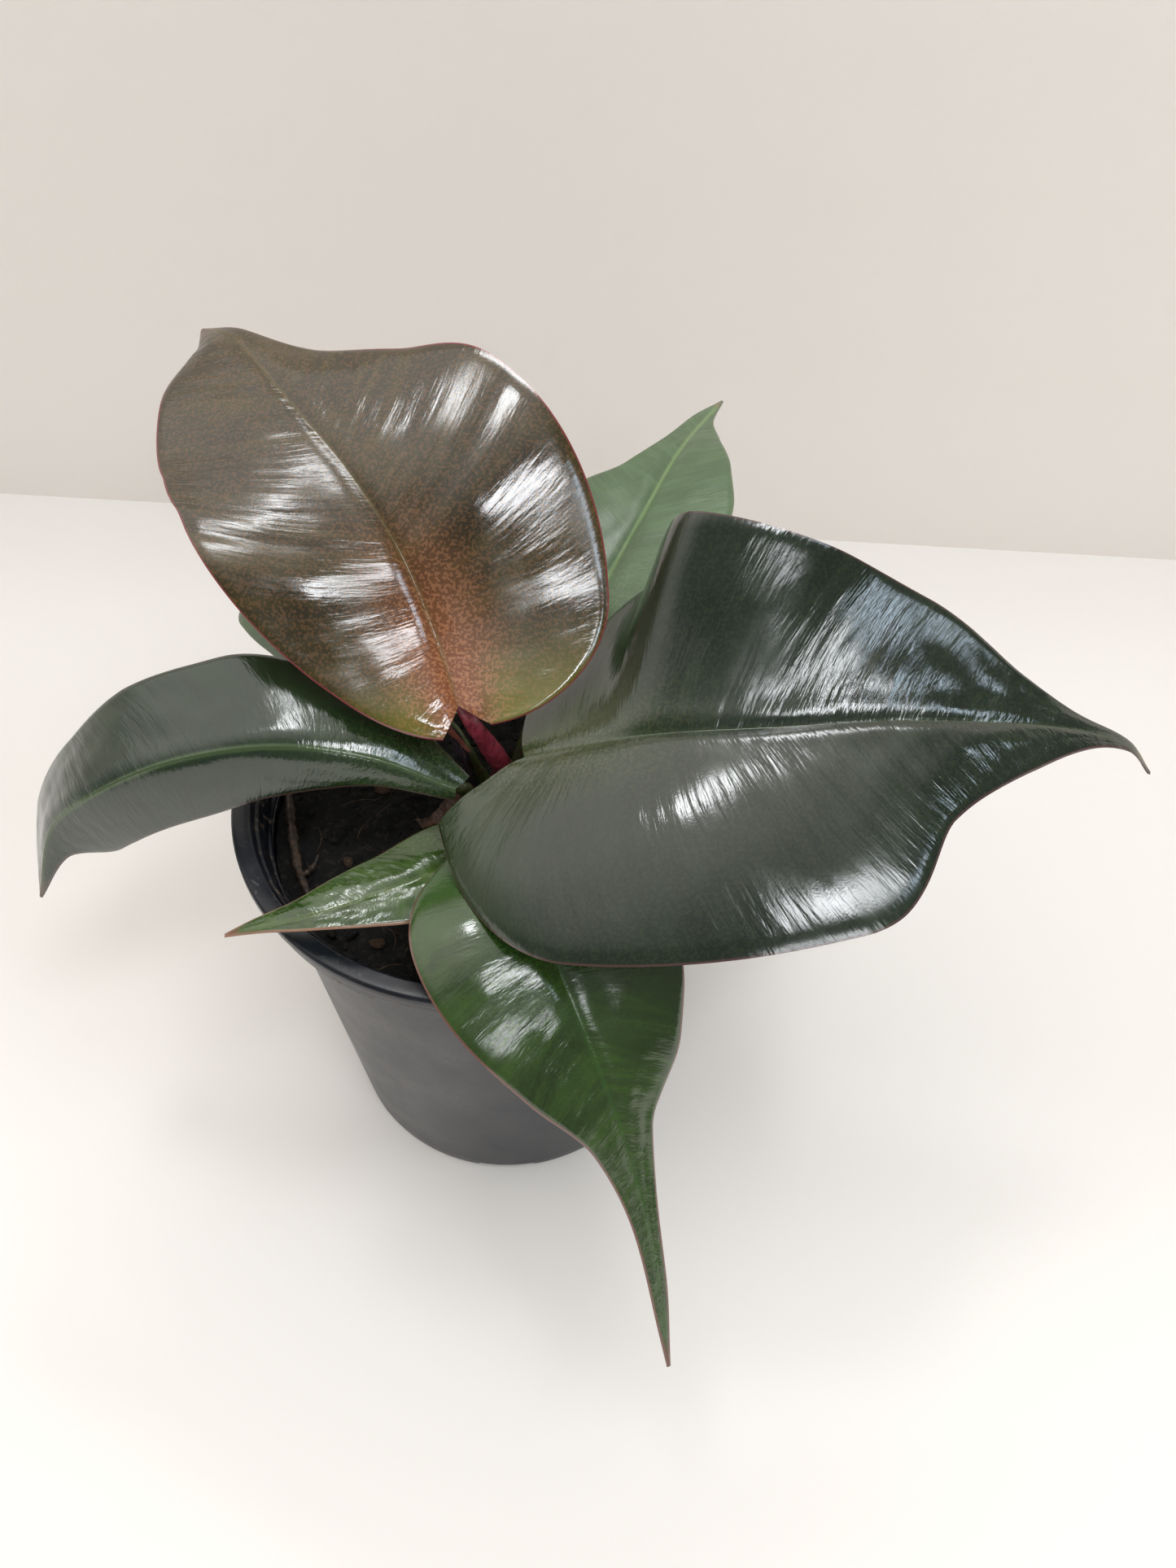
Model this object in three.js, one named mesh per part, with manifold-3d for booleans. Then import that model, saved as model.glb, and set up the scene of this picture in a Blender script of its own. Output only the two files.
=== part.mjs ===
// A young philodendron in a round plastic nursery pot.
// Millimetres, +Z up. The origin is the middle of the pot's foot, on the surface that the pot
// stands on. +Y points to the back of the plant and +X to its right.

import * as THREE from "three";
import { mergeVertices } from "three/addons/utils/BufferGeometryUtils.js";
import Module from "manifold-3d";

const wasm = await Module();
wasm.setup();

// ---------------------------------------------------------------- driving sizes

// Room left between two pieces that touch.
const CLEARANCE = 0.3;

// Pot
const POT_HEIGHT = 127;
const RIM_RADIUS = 65;
const RIM_BEAD_HEIGHT = 3.6;
const FLANGE_WIDTH = 4.6;
const BAND_HEIGHT = 5;
const BAND_STEP = 1.4;
const STEP_BELOW_BAND = 4.6;
const STEP_INSIDE_RIM = 1.5;
const STEP_DEPTH = 3;
const FOOT_RADIUS = 50;
const WALL = 1.3;
const HEEL_CHAMFER = 1.5;
const HEEL_WIDTH = 5;
const FLOOR_LIFT = 3.6;
const PAD_RADIUS = 14;
const POT_SIDES = 56;

// Drainage
const DRAIN_HOLE_COUNT = 6;
const DRAIN_HOLE_RADIUS = 4.5;
const DRAIN_NOTCH_COUNT = 4;
const DRAIN_NOTCH_WIDTH = 17;
const DRAIN_NOTCH_HEIGHT = 2.6;

// Soil
const HEADSPACE = 15;
const SOIL_LEVEL = POT_HEIGHT - HEADSPACE;
const SOIL_BUMP = 1.3;
const SOIL_RINGS = 10;
const SOIL_SIDES = 36;

// Crown of the plant
const STEM_RADIUS = 4.3;
const STEM_HEIGHT = 9;
const STEM_DEPTH = 16;
const STEM_X = 2;
const STEM_Y = 3;

// Leaves
const BLADE_THICKNESS = 0.9;
const MARGIN_THICKNESS = 0.5;
const BLADE_COLUMNS = 5;
const PETIOLE_SIDES = 8;
const PETIOLE_STEPS = 9;
const PETIOLE_END_RADIUS = 0.9;

// ---------------------------------------------------------------- small helpers

const radians = THREE.MathUtils.degToRad;

/** A smooth curve through a few values that never overshoots them. */
function through(stations, values, at) {
  const last = stations.length - 1;
  const gap = (i) => stations[i + 1] - stations[i];
  const rise = (i) => (values[i + 1] - values[i]) / gap(i);
  const slope = (i) => {
    if (i === 0) return rise(0);
    if (i === last) return rise(last - 1);
    if (rise(i - 1) * rise(i) <= 0) return 0;
    const before = 2 * gap(i) + gap(i - 1);
    const after = gap(i) + 2 * gap(i - 1);
    return (before + after) / (before / rise(i - 1) + after / rise(i));
  };
  let i = 0;
  while (i < last - 1 && at > stations[i + 1]) i += 1;
  const h = gap(i);
  const t = THREE.MathUtils.clamp((at - stations[i]) / h, 0, 1);
  const t2 = t * t;
  const t3 = t2 * t;
  return (2 * t3 - 3 * t2 + 1) * values[i] + (t3 - 2 * t2 + t) * h * slope(i)
    + (3 * t2 - 2 * t3) * values[i + 1] + (t3 - t2) * h * slope(i + 1);
}

function curveThrough(points) {
  return new THREE.CatmullRomCurve3(points.map((p) => new THREE.Vector3(...p)));
}

function geometryFrom(positions, index) {
  const geometry = new THREE.BufferGeometry();
  geometry.setAttribute("position", new THREE.Float32BufferAttribute(positions, 3));
  geometry.setIndex(index);
  geometry.computeVertexNormals();
  return geometry;
}

/** Manifold solid of a closed three.js geometry. */
function solidOf(geometry, matrix = new THREE.Matrix4()) {
  const bare = geometry.clone().applyMatrix4(matrix);
  bare.deleteAttribute("normal");
  bare.deleteAttribute("uv");
  const merged = mergeVertices(bare, 1e-4);
  return new wasm.Manifold(new wasm.Mesh({
    numProp: 3,
    vertProperties: Float32Array.from(merged.attributes.position.array),
    triVerts: Uint32Array.from(merged.index.array),
  }));
}

function geometryOf(solid) {
  const mesh = solid.getMesh();
  return geometryFrom(Array.from(mesh.vertProperties), Array.from(mesh.triVerts));
}

// ---------------------------------------------------------------- materials

function finish(color, roughness, metalness = 0) {
  return new THREE.MeshStandardMaterial({ color, roughness, metalness });
}

const potPlastic = finish(0x1b1c1e, 0.45);
const peat = finish(0x17130f, 0.95);
const stemSkin = finish(0x6b6a3a, 0.5);
const bronzeLeaf = finish(0x66613a, 0.22);
const darkLeaf = finish(0x2c3a2a, 0.25);
const freshLeaf = finish(0x3a5a2a, 0.3);
const backLeaf = finish(0x6d7f66, 0.35);
const crimsonStalk = finish(0x9b3b48, 0.3);
const greenStalk = finish(0x5f6d3c, 0.35);
const pinkSheath = finish(0x8a5f55, 0.45);
const darkSheath = finish(0x3a3038, 0.4);
const dryFibre = finish(0x5a463a, 0.9);
const dryWood = finish(0x4a3c2f, 0.85);

const pottedPlant = new THREE.Group();

// What stands in the soil or lies on it is measured from the soil's mean level. The leaves are
// measured from the top of the rim, because the lowest of them reach over it.
const aboveSoil = new THREE.Group();
aboveSoil.position.z = SOIL_LEVEL;
const aboveRim = new THREE.Group();
aboveRim.position.z = POT_HEIGHT;
pottedPlant.add(aboveSoil, aboveRim);

function add(group, name, geometry, material) {
  const mesh = new THREE.Mesh(geometry, material);
  mesh.name = name;
  group.add(mesh);
}

// ---------------------------------------------------------------- pot

const wallTopRadius = RIM_RADIUS - BAND_STEP - STEP_BELOW_BAND;
const flangeInnerRadius = RIM_RADIUS - FLANGE_WIDTH;
const bandBottom = POT_HEIGHT - RIM_BEAD_HEIGHT - BAND_HEIGHT;
const innerTopRadius = wallTopRadius - WALL;
const innerFootRadius = FOOT_RADIUS - WALL;
const floorTop = FLOOR_LIFT + WALL;

/** Radius inside the pot at a height between the floor and the band. */
function potInnerRadius(z) {
  const t = (z - floorTop) / (bandBottom - floorTop);
  return THREE.MathUtils.lerp(innerFootRadius, innerTopRadius, t);
}

function makePot() {
  const heelInner = FOOT_RADIUS - HEEL_CHAMFER - HEEL_WIDTH;
  const edge = 0.6;
  const profile = [
    [0, 0],
    [PAD_RADIUS, 0],
    [PAD_RADIUS + FLOOR_LIFT, FLOOR_LIFT],
    [heelInner - FLOOR_LIFT / 2, FLOOR_LIFT],
    [heelInner, 0],
    [FOOT_RADIUS - HEEL_CHAMFER, 0],
    [FOOT_RADIUS, HEEL_CHAMFER],
    [wallTopRadius, bandBottom],
    [RIM_RADIUS - BAND_STEP, bandBottom],
    [RIM_RADIUS - BAND_STEP, POT_HEIGHT - RIM_BEAD_HEIGHT],
    [RIM_RADIUS - edge, POT_HEIGHT - RIM_BEAD_HEIGHT],
    [RIM_RADIUS, POT_HEIGHT - RIM_BEAD_HEIGHT + edge],
    [RIM_RADIUS, POT_HEIGHT - edge],
    [RIM_RADIUS - edge, POT_HEIGHT],
    [flangeInnerRadius, POT_HEIGHT],
    [flangeInnerRadius - edge, POT_HEIGHT - STEP_DEPTH],
    [flangeInnerRadius - STEP_INSIDE_RIM, POT_HEIGHT - STEP_DEPTH],
    [innerTopRadius, bandBottom],
    [innerFootRadius, floorTop],
    [PAD_RADIUS + FLOOR_LIFT - WALL / 2, floorTop],
    [PAD_RADIUS - WALL / 2, WALL],
    [0, WALL],
  ].map(([r, z]) => new THREE.Vector2(r, z));
  const shell = new THREE.LatheGeometry(profile, POT_SIDES);
  const upright = new THREE.Matrix4().makeRotationX(Math.PI / 2);
  let pot = solidOf(shell, upright);

  const holeRing = (PAD_RADIUS + FLOOR_LIFT + heelInner - FLOOR_LIFT / 2) / 2;
  for (let i = 0; i < DRAIN_HOLE_COUNT; i += 1) {
    const angle = (i + 0.5) / DRAIN_HOLE_COUNT * 2 * Math.PI;
    const drill = new THREE.CylinderGeometry(DRAIN_HOLE_RADIUS, DRAIN_HOLE_RADIUS, 4 * floorTop, 16);
    const place = new THREE.Matrix4()
      .makeTranslation(holeRing * Math.cos(angle), holeRing * Math.sin(angle), 0)
      .multiply(upright);
    pot = pot.subtract(solidOf(drill, place));
  }
  for (let i = 0; i < DRAIN_NOTCH_COUNT; i += 1) {
    const angle = (i / DRAIN_NOTCH_COUNT - 0.25) * 2 * Math.PI;
    const cutter = new THREE.BoxGeometry(3 * HEEL_WIDTH, DRAIN_NOTCH_WIDTH, 2 * DRAIN_NOTCH_HEIGHT);
    const place = new THREE.Matrix4()
      .makeRotationZ(angle)
      .multiply(new THREE.Matrix4().makeTranslation(FOOT_RADIUS - HEEL_WIDTH / 2, 0, 0));
    pot = pot.subtract(solidOf(cutter, place));
  }
  return geometryOf(pot);
}

add(pottedPlant, "pot", makePot(), potPlastic);

// ---------------------------------------------------------------- soil and stem

/** Height of the soil's uneven surface above its mean level. */
function soilRelief(x, y) {
  const lumps = Math.sin(x * 0.19 + 1) * Math.cos(y * 0.23 - 0.6)
    + 0.5 * Math.sin(x * 0.41 - y * 0.33);
  return SOIL_BUMP * lumps / 1.5;
}

function makeSoil() {
  const positions = [];
  const index = [];
  const bottom = floorTop + CLEARANCE;
  // The pot's flat sides come closer to the middle than its corners do.
  const flat = Math.cos(Math.PI / POT_SIDES);
  const topRadius = potInnerRadius(SOIL_LEVEL - SOIL_BUMP) * flat - CLEARANCE;
  const bottomRadius = potInnerRadius(bottom) * flat - CLEARANCE;
  positions.push(0, 0, SOIL_LEVEL + soilRelief(0, 0));
  for (let ring = 1; ring <= SOIL_RINGS; ring += 1) {
    const r = topRadius * ring / SOIL_RINGS;
    for (let side = 0; side < SOIL_SIDES; side += 1) {
      const angle = side / SOIL_SIDES * 2 * Math.PI;
      const x = r * Math.cos(angle);
      const y = r * Math.sin(angle);
      positions.push(x, y, SOIL_LEVEL + (ring === SOIL_RINGS ? -SOIL_BUMP : soilRelief(x, y)));
    }
  }
  for (let side = 0; side < SOIL_SIDES; side += 1) {
    const angle = side / SOIL_SIDES * 2 * Math.PI;
    positions.push(bottomRadius * Math.cos(angle), bottomRadius * Math.sin(angle), bottom);
  }
  positions.push(0, 0, bottom);
  const at = (ring, side) => 1 + (ring - 1) * SOIL_SIDES + side % SOIL_SIDES;
  const middle = positions.length / 3 - 1;
  for (let side = 0; side < SOIL_SIDES; side += 1) {
    index.push(0, at(1, side), at(1, side + 1));
    for (let ring = 1; ring <= SOIL_RINGS; ring += 1) {
      index.push(at(ring, side), at(ring + 1, side), at(ring + 1, side + 1));
      index.push(at(ring, side), at(ring + 1, side + 1), at(ring, side + 1));
    }
    index.push(at(SOIL_RINGS + 1, side), middle, at(SOIL_RINGS + 1, side + 1));
  }
  return geometryFrom(positions, index);
}

/** The short stem, with a swollen foot in the soil and a rounded top. */
function makeStem(grow = 0) {
  const top = STEM_HEIGHT + grow;
  const foot = -STEM_DEPTH - grow;
  const r = STEM_RADIUS + grow;
  const profile = [
    [0, foot],
    [r * 0.6, foot + 1],
    [r * 1.15, foot + 6],
    [r * 1.05, -2],
    [r, 1],
    [r * 0.9, top - 2],
    [r * 0.5, top],
    [0, top],
  ].map(([radius, z]) => new THREE.Vector2(radius, z));
  const place = new THREE.Matrix4()
    .makeTranslation(STEM_X, STEM_Y, 0)
    .multiply(new THREE.Matrix4().makeRotationX(Math.PI / 2));
  return solidOf(new THREE.LatheGeometry(profile, 16), place);
}

const stemPit = makeStem(CLEARANCE).translate([0, 0, SOIL_LEVEL]);
add(pottedPlant, "soil", geometryOf(solidOf(makeSoil()).subtract(stemPit)), peat);
add(aboveSoil, "stem", geometryOf(makeStem()), stemSkin);

// ---------------------------------------------------------------- tapered tubes

/** A closed round tube along a curve, whose radius runs smoothly through a few values. */
function taperedTube(curve, radii, sides, steps) {
  const frames = curve.computeFrenetFrames(steps, false);
  const stations = radii.map((_, i) => i / (radii.length - 1));
  const positions = [];
  const index = [];
  for (let step = 0; step <= steps; step += 1) {
    const centre = curve.getPointAt(step / steps);
    const radius = through(stations, radii, step / steps);
    for (let side = 0; side < sides; side += 1) {
      const angle = side / sides * 2 * Math.PI;
      const out = frames.normals[step].clone().multiplyScalar(Math.cos(angle))
        .addScaledVector(frames.binormals[step], Math.sin(angle));
      positions.push(...centre.clone().addScaledVector(out, radius).toArray());
    }
  }
  const start = positions.length / 3;
  positions.push(...curve.getPointAt(0).toArray(), ...curve.getPointAt(1).toArray());
  const at = (step, side) => step * sides + side % sides;
  for (let side = 0; side < sides; side += 1) {
    for (let step = 0; step < steps; step += 1) {
      index.push(at(step, side), at(step, side + 1), at(step + 1, side + 1));
      index.push(at(step, side), at(step + 1, side + 1), at(step + 1, side));
    }
    index.push(start, at(0, side + 1), at(0, side));
    index.push(start + 1, at(steps, side), at(steps, side + 1));
  }
  return geometryFrom(positions, index);
}

// ---------------------------------------------------------------- leaf blades

// Shares of the midrib's length at which the half widths are given.
const WIDTH_STATIONS = [0, 0.12, 0.3, 0.5, 0.7, 0.86, 1];
// Shares at which each half's tilt is given: rise at the midrib and rim at the margin, degrees.
const TILT_STATIONS = [0, 0.15, 0.35, 0.65, 1];

// Each leaf: the line of its midrib from stalk to tip, then for each half (right and left, looking
// from stalk to tip) its widths and tilts. A lobe angle below zero sweeps back past the stalk.
// The stalk leaves the stem at an angle around it (degrees from +X) and a height over the soil.
// The front leaf hangs over the rim, so it takes those points from the rim's radius.
const LEAVES = {
  young_leaf: {
    skin: bronzeLeaf,
    stalkSkin: crimsonStalk,
    midrib: [[-4.6, -8, 36], [-10, 6, 44], [-18, 20, 57], [-30, 36, 67], [-46, 56, 73],
      [-63, 79, 76], [-73, 88, 73]],
    roll: [-4, -6, -4],
    right: { widths: [9, 41, 51.5, 33, 15.5, 5.5, 0.5], rise: [14, 14, 12, 10, 10],
      rim: [-2, -6, -12, -20, -20], lobe: -50 },
    left: { widths: [9, 28, 48, 43, 31, 15, 0.5], rise: [12, 12, 12, 10, 10],
      rim: [-5, -7, -10, -15, -20], lobe: -50 },
    ripple: { waves: 2, height: 1, phase: 0 },
    rows: 22,
    stalk: { onTop: true, via: [[3.6, 0.5, 3], [0.7, -2.5, 16], [-2.9, -6.3, 30]] },
    stalkRadii: [2.9, 2.7, 2.4, 1.9],
  },
  right_leaf: {
    skin: darkLeaf,
    stalkSkin: greenStalk,
    midrib: [[10.5, -18, 29], [36, -22, 41], [66, -24, 46], [96, -22, 46], [129, -19, 40],
      [147, -17, 32], [154, -18, 24]],
    roll: [6, 9, 6],
    right: { widths: [26, 50, 53.5, 28.5, 12.5, 3.5, 0.5], rise: [4, 4, 4, 4, 4],
      rim: [-22, -25, -28, -25, -20], lobe: -62 },
    left: { widths: [22, 50, 46, 33, 14, 3.5, 0.5], rise: [-8, -3, 26, 20, 12],
      rim: [-14, -12, 38, 18, 0], lobe: -8 },
    tiltStations: [0, 0.11, 0.21, 0.4, 1],
    ripple: { waves: 2, height: 1, phase: 1 },
    rows: 30,
    stalk: { angle: -5, height: 6, via: [[12, -4, 3], [12, -12, 16]] },
    stalkRadii: [2.3, 2.2, 2],
  },
  left_leaf: {
    skin: darkLeaf,
    stalkSkin: greenStalk,
    midrib: [[-6, -18, 18], [-24, -17, 28], [-46, -17, 32], [-70, -17, 27], [-92, -16, 14],
      [-109, -14, -3], [-118, -18, -26]],
    roll: [-10, -12, -16],
    right: { widths: [5, 14, 29, 28, 25, 20, 0.5], rise: [6, 6, 6, 6, 6],
      rim: [-5, -5, -5, -5, -5], lobe: -30 },
    left: { widths: [3, 7, 15, 18, 17, 6, 0.5], rise: [-40, -42, -45, -45, -30],
      rim: [-70, -75, -80, -80, -50], lobe: -30 },
    ripple: { waves: 2, height: 1, phase: 1 },
    rows: 22,
    stalk: { angle: -140, height: 6, via: [[-4.8, -6.5, 1], [-4.6, -13, 12]] },
    stalkRadii: [2.1, 2, 1.7],
  },
  small_leaf: {
    skin: freshLeaf,
    stalkSkin: greenStalk,
    midrib: [[4, -20, -2], [-6, -30, 5], [-17, -38, 8], [-37, -47, 8.5], [-57.5, -48.5, 2.5]],
    roll: [0, 0, 0],
    right: { widths: [8, 14, 14, 11, 7, 4, 0.4], rise: [10, 10, 10, 10, 10],
      rim: [-10, -10, -10, -10, -10], lobe: -30 },
    left: { widths: [7, 13, 12, 8, 4, 1.5, 0.4], rise: [-5, -5, -5, -5, -5],
      rim: [-20, -20, -20, -20, -20], lobe: -30 },
    ripple: { waves: 2, height: 0.6, phase: 0 },
    rows: 16,
    stalk: { angle: -100, height: 5, via: [[2, -9, -8.5], [4, -15, -6]] },
    stalkRadii: [1.6, 1.5, 1.3],
  },
  front_leaf: {
    skin: freshLeaf,
    stalkSkin: greenStalk,
    midrib: [[9, -36, 11], [13, 15.5 - RIM_RADIUS, 12], [20, 1.5 - RIM_RADIUS, 5.5],
      [29, -RIM_RADIUS - 14.5, -11.5], [36, -RIM_RADIUS - 28, -31], [41, -RIM_RADIUS - 42, -51],
      [44, -RIM_RADIUS - 56, -71]],
    roll: [0, 0, 0],
    right: { widths: [17, 28, 21, 9, 4, 2.5, 0.4], rise: [6, 6, 6, 6, 6],
      rim: [-12, -12, -12, -10, -5], lobe: -55 },
    left: { widths: [17, 31, 25, 9, 3.5, 2, 0.4], rise: [6, 6, 6, 6, 6],
      rim: [-12, -12, -12, -10, -5], lobe: -55 },
    ripple: { waves: 1.5, height: 0.8, phase: 2 },
    rows: 24,
    stalk: { angle: -55, height: 6, via: [[6.8, -13, 1], [7.8, -25, 7.5]] },
    stalkRadii: [2, 1.9, 1.6],
  },
  back_leaf: {
    skin: backLeaf,
    stalkSkin: greenStalk,
    midrib: [[17, 21, 23], [27, 36, 29], [38, 60, 33], [50, 90, 34], [66, 130, 25]],
    roll: [0, 0, 0],
    right: { widths: [12, 26, 28, 21, 10, 2.5, 0.4], rise: [12, 12, 12, 12, 10],
      rim: [-5, -5, -5, -5, -5], lobe: -35 },
    left: { widths: [12, 26, 26, 15, 7, 4.5, 0.4], rise: [12, 12, 12, 12, 10],
      rim: [-5, -5, -5, -5, -5], lobe: -35 },
    ripple: { waves: 1.5, height: 0.8, phase: 1 },
    rows: 18,
    stalk: { angle: 55, height: 6, via: [[9.5, 14, 2], [13.5, 18, 13]] },
    stalkRadii: [2.2, 2, 1.8],
  },
  rear_leaf: {
    skin: freshLeaf,
    stalkSkin: greenStalk,
    midrib: [[-12, 14, 9], [-26, 28, 13], [-42, 45, 13.5], [-55, 64, 10], [-64, 84, 4]],
    roll: [0, 0, 0],
    right: { widths: [8, 18, 23, 23, 16, 7, 0.4], rise: [10, 10, 10, 10, 10],
      rim: [-10, -10, -10, -10, -10], lobe: -35 },
    left: { widths: [8, 19, 25, 26, 18, 8, 0.4], rise: [10, 10, 10, 10, 10],
      rim: [-10, -10, -10, -10, -10], lobe: -35 },
    ripple: { waves: 1.5, height: 0.6, phase: 0 },
    rows: 16,
    stalk: { angle: 135, height: 5, via: [[-5, 8.5, -3], [-9, 11.5, 5]] },
    stalkRadii: [1.8, 1.7, 1.5],
  },
};

// Veins lean towards the tip by this angle past the lobes.
const VEIN_LEAN = 35;
// How far a vein bows on its way out, as a share of its length.
const VEIN_BOW = 0.2;

/** Points of the blade's middle surface: rows along the midrib, columns from left to right. */
function bladeSurface(leaf) {
  const curve = curveThrough(leaf.midrib);
  const rows = [];
  let up = new THREE.Vector3(0, 0, 1);
  for (let row = 0; row <= leaf.rows; row += 1) {
    const u = row / leaf.rows;
    const centre = curve.getPointAt(u);
    const forward = curve.getTangentAt(u);
    up = up.clone().addScaledVector(forward, -up.dot(forward)).normalize();
    const flatSide = new THREE.Vector3().crossVectors(forward, up);
    const roll = radians(through([0, 0.5, 1], leaf.roll, u));
    const normal = up.clone().multiplyScalar(Math.cos(roll))
      .addScaledVector(flatSide, Math.sin(roll));
    const across = new THREE.Vector3().crossVectors(forward, normal);
    const points = [];
    for (let column = -BLADE_COLUMNS; column <= BLADE_COLUMNS; column += 1) {
      const hand = Math.sign(column);
      const q = Math.abs(column) / BLADE_COLUMNS;
      const half = hand < 0 ? leaf.left : leaf.right;
      const width = through(WIDTH_STATIONS, half.widths, u);
      const tilts = leaf.tiltStations ?? TILT_STATIONS;
      const rise = radians(through(tilts, half.rise, u));
      const bend = radians(through(tilts, half.rim, u)) - rise || 1e-6;
      const lean = radians(through([0, 0.12, 0.35, 1],
        [half.lobe, 0.3 * (half.lobe + VEIN_LEAN), VEIN_LEAN, VEIN_LEAN], u));
      // The half bends at an even rate from its tilt at the midrib to its tilt at the margin.
      const out = width * (Math.sin(rise + bend * q) - Math.sin(rise)) / bend;
      const lift = width * (Math.cos(rise) - Math.cos(rise + bend * q)) / bend;
      const wave = leaf.ripple.height * q ** 3 * Math.min(1, width / 20)
        * Math.sin(2 * Math.PI * leaf.ripple.waves * u + leaf.ripple.phase + hand);
      points.push(centre.clone()
        .addScaledVector(across, hand * out * Math.cos(lean))
        .addScaledVector(forward, out * Math.sin(lean) + VEIN_BOW * width * (q * q - q))
        .addScaledVector(normal, lift + wave));
    }
    rows.push(points);
  }
  return rows;
}

/** A closed thin slab on both sides of a grid of points, thinner at its edges. */
function thickSheet(rows, thickness, edgeThickness) {
  const height = rows.length;
  const width = rows[0].length;
  const clampRow = (i) => Math.min(Math.max(i, 0), height - 1);
  const clampColumn = (j) => Math.min(Math.max(j, 0), width - 1);
  const middle = (width - 1) / 2;
  const positions = [];
  for (const face of [1, -1]) {
    for (let i = 0; i < height; i += 1) {
      for (let j = 0; j < width; j += 1) {
        const along = rows[clampRow(i + 1)][j].clone().sub(rows[clampRow(i - 1)][j]);
        const across = rows[i][clampColumn(j + 1)].clone().sub(rows[i][clampColumn(j - 1)]);
        const normal = new THREE.Vector3().crossVectors(across, along).normalize();
        const half = THREE.MathUtils.lerp(thickness, edgeThickness, Math.abs(j - middle) / middle) / 2;
        positions.push(...rows[i][j].clone().addScaledVector(normal, face * half).toArray());
      }
    }
  }
  const under = height * width;
  const at = (i, j) => i * width + j;
  const index = [];
  for (let i = 0; i < height - 1; i += 1) {
    for (let j = 0; j < width - 1; j += 1) {
      const [a, b, c, d] = [at(i, j), at(i, j + 1), at(i + 1, j + 1), at(i + 1, j)];
      index.push(a, b, c, a, c, d);
      index.push(under + a, under + c, under + b, under + a, under + d, under + c);
    }
  }
  const border = [];
  for (let j = 0; j < width - 1; j += 1) border.push(at(0, j));
  for (let i = 0; i < height - 1; i += 1) border.push(at(i, width - 1));
  for (let j = width - 1; j > 0; j -= 1) border.push(at(height - 1, j));
  for (let i = height - 1; i > 0; i -= 1) border.push(at(i, 0));
  border.forEach((a, k) => {
    const b = border[(k + 1) % border.length];
    index.push(a, under + a, under + b, a, under + b, b);
  });
  return geometryFrom(positions, index);
}

/** Line of a stalk, from the stem's side or top to just short of its blade. */
function stalkCurve(leaf) {
  const { angle, height, onTop, via } = leaf.stalk;
  const start = new THREE.Vector3(STEM_X, STEM_Y, STEM_HEIGHT + 4 * CLEARANCE - HEADSPACE);
  if (!onTop) {
    const reach = STEM_RADIUS + leaf.stalkRadii[0] + 2 * CLEARANCE;
    start.x += reach * Math.cos(radians(angle));
    start.y += reach * Math.sin(radians(angle));
    start.z = height - HEADSPACE;
  }
  const midrib = curveThrough(leaf.midrib);
  const gap = PETIOLE_END_RADIUS + BLADE_THICKNESS + CLEARANCE;
  const end = midrib.getPointAt(0).addScaledVector(midrib.getTangentAt(0), -gap);
  return curveThrough([start.toArray(), ...via, end.toArray()]);
}

for (const [name, leaf] of Object.entries(LEAVES)) {
  const blade = thickSheet(bladeSurface(leaf), BLADE_THICKNESS, MARGIN_THICKNESS);
  add(aboveRim, `${name}_blade`, blade, leaf.skin);
  const radii = [...leaf.stalkRadii, PETIOLE_END_RADIUS];
  const stalk = taperedTube(stalkCurve(leaf), radii, PETIOLE_SIDES, PETIOLE_STEPS);
  add(aboveRim, `${name}_petiole`, stalk, leaf.stalkSkin);
}

// ---------------------------------------------------------------- sheaths at the crown

/** A pointed scale that wraps part of the stem and leans away from it. */
function makeScale({ angle, spread, foot, height, gap, lean }) {
  const rows = [];
  for (let row = 0; row <= 7; row += 1) {
    const t = row / 7;
    const points = [];
    for (let column = -3; column <= 3; column += 1) {
      const turn = radians(angle - spread * column / 3 * Math.sqrt(1 - 0.96 * t * t));
      const r = STEM_RADIUS + gap + lean * t * t;
      points.push(new THREE.Vector3(
        STEM_X + r * Math.cos(turn), STEM_Y + r * Math.sin(turn), foot + height * t));
    }
    rows.push(points);
  }
  return thickSheet(rows, BLADE_THICKNESS, MARGIN_THICKNESS);
}

/** A flap between two lines of points, with a straight width. */
function makeFlap(near, far, steps) {
  const nearCurve = curveThrough(near);
  const farCurve = curveThrough(far);
  const rows = [];
  for (let step = 0; step <= steps; step += 1) {
    const a = nearCurve.getPointAt(step / steps);
    const b = farCurve.getPointAt(step / steps);
    rows.push([0, 0.5, 1].map((t) => a.clone().lerp(b, t)));
  }
  return thickSheet(rows, MARGIN_THICKNESS, MARGIN_THICKNESS);
}

add(aboveSoil, "dark_sheath",
  makeScale({ angle: 174, spread: 20, foot: 3, height: 27, gap: 3, lean: 4 }), darkSheath);
add(aboveRim, "young_leaf_sheath",
  makeFlap([[-3.6, -3.4, 15], [-5.6, -6, 23], [-7.6, -8.6, 30]],
    [[-4.4, -3, 15], [-8.2, -4.6, 23], [-12.4, -6.4, 30]], 4), pinkSheath);

// ---------------------------------------------------------------- litter on the soil

/** A strip of an old dry sheath, crumpled beside the crown. */
function makeOldSheath() {
  const far = [[-10, 6, 2.6], [-13, 2, 3.4], [-16, -2, 2.4], [-20, -4, 3]];
  const near = far.map(([x, y, z]) => [x + 2.6, y - 3.2, z + 1.2]);
  return makeFlap(near, far, 5);
}

/** A small irregular lump that rests on the soil. */
function makeLump(x, y, length, width, turn) {
  const lump = new THREE.IcosahedronGeometry(0.5, 0);
  lump.scale(length, width, width * 0.6);
  lump.rotateZ(radians(turn));
  const reliefs = [-1, 0, 1].flatMap((i) => [-1, 0, 1].map((j) => (
    soilRelief(x + i * length / 2, y + j * length / 2))));
  lump.translate(x, y, Math.max(...reliefs) + width * 0.3 + CLEARANCE);
  return lump;
}

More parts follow.
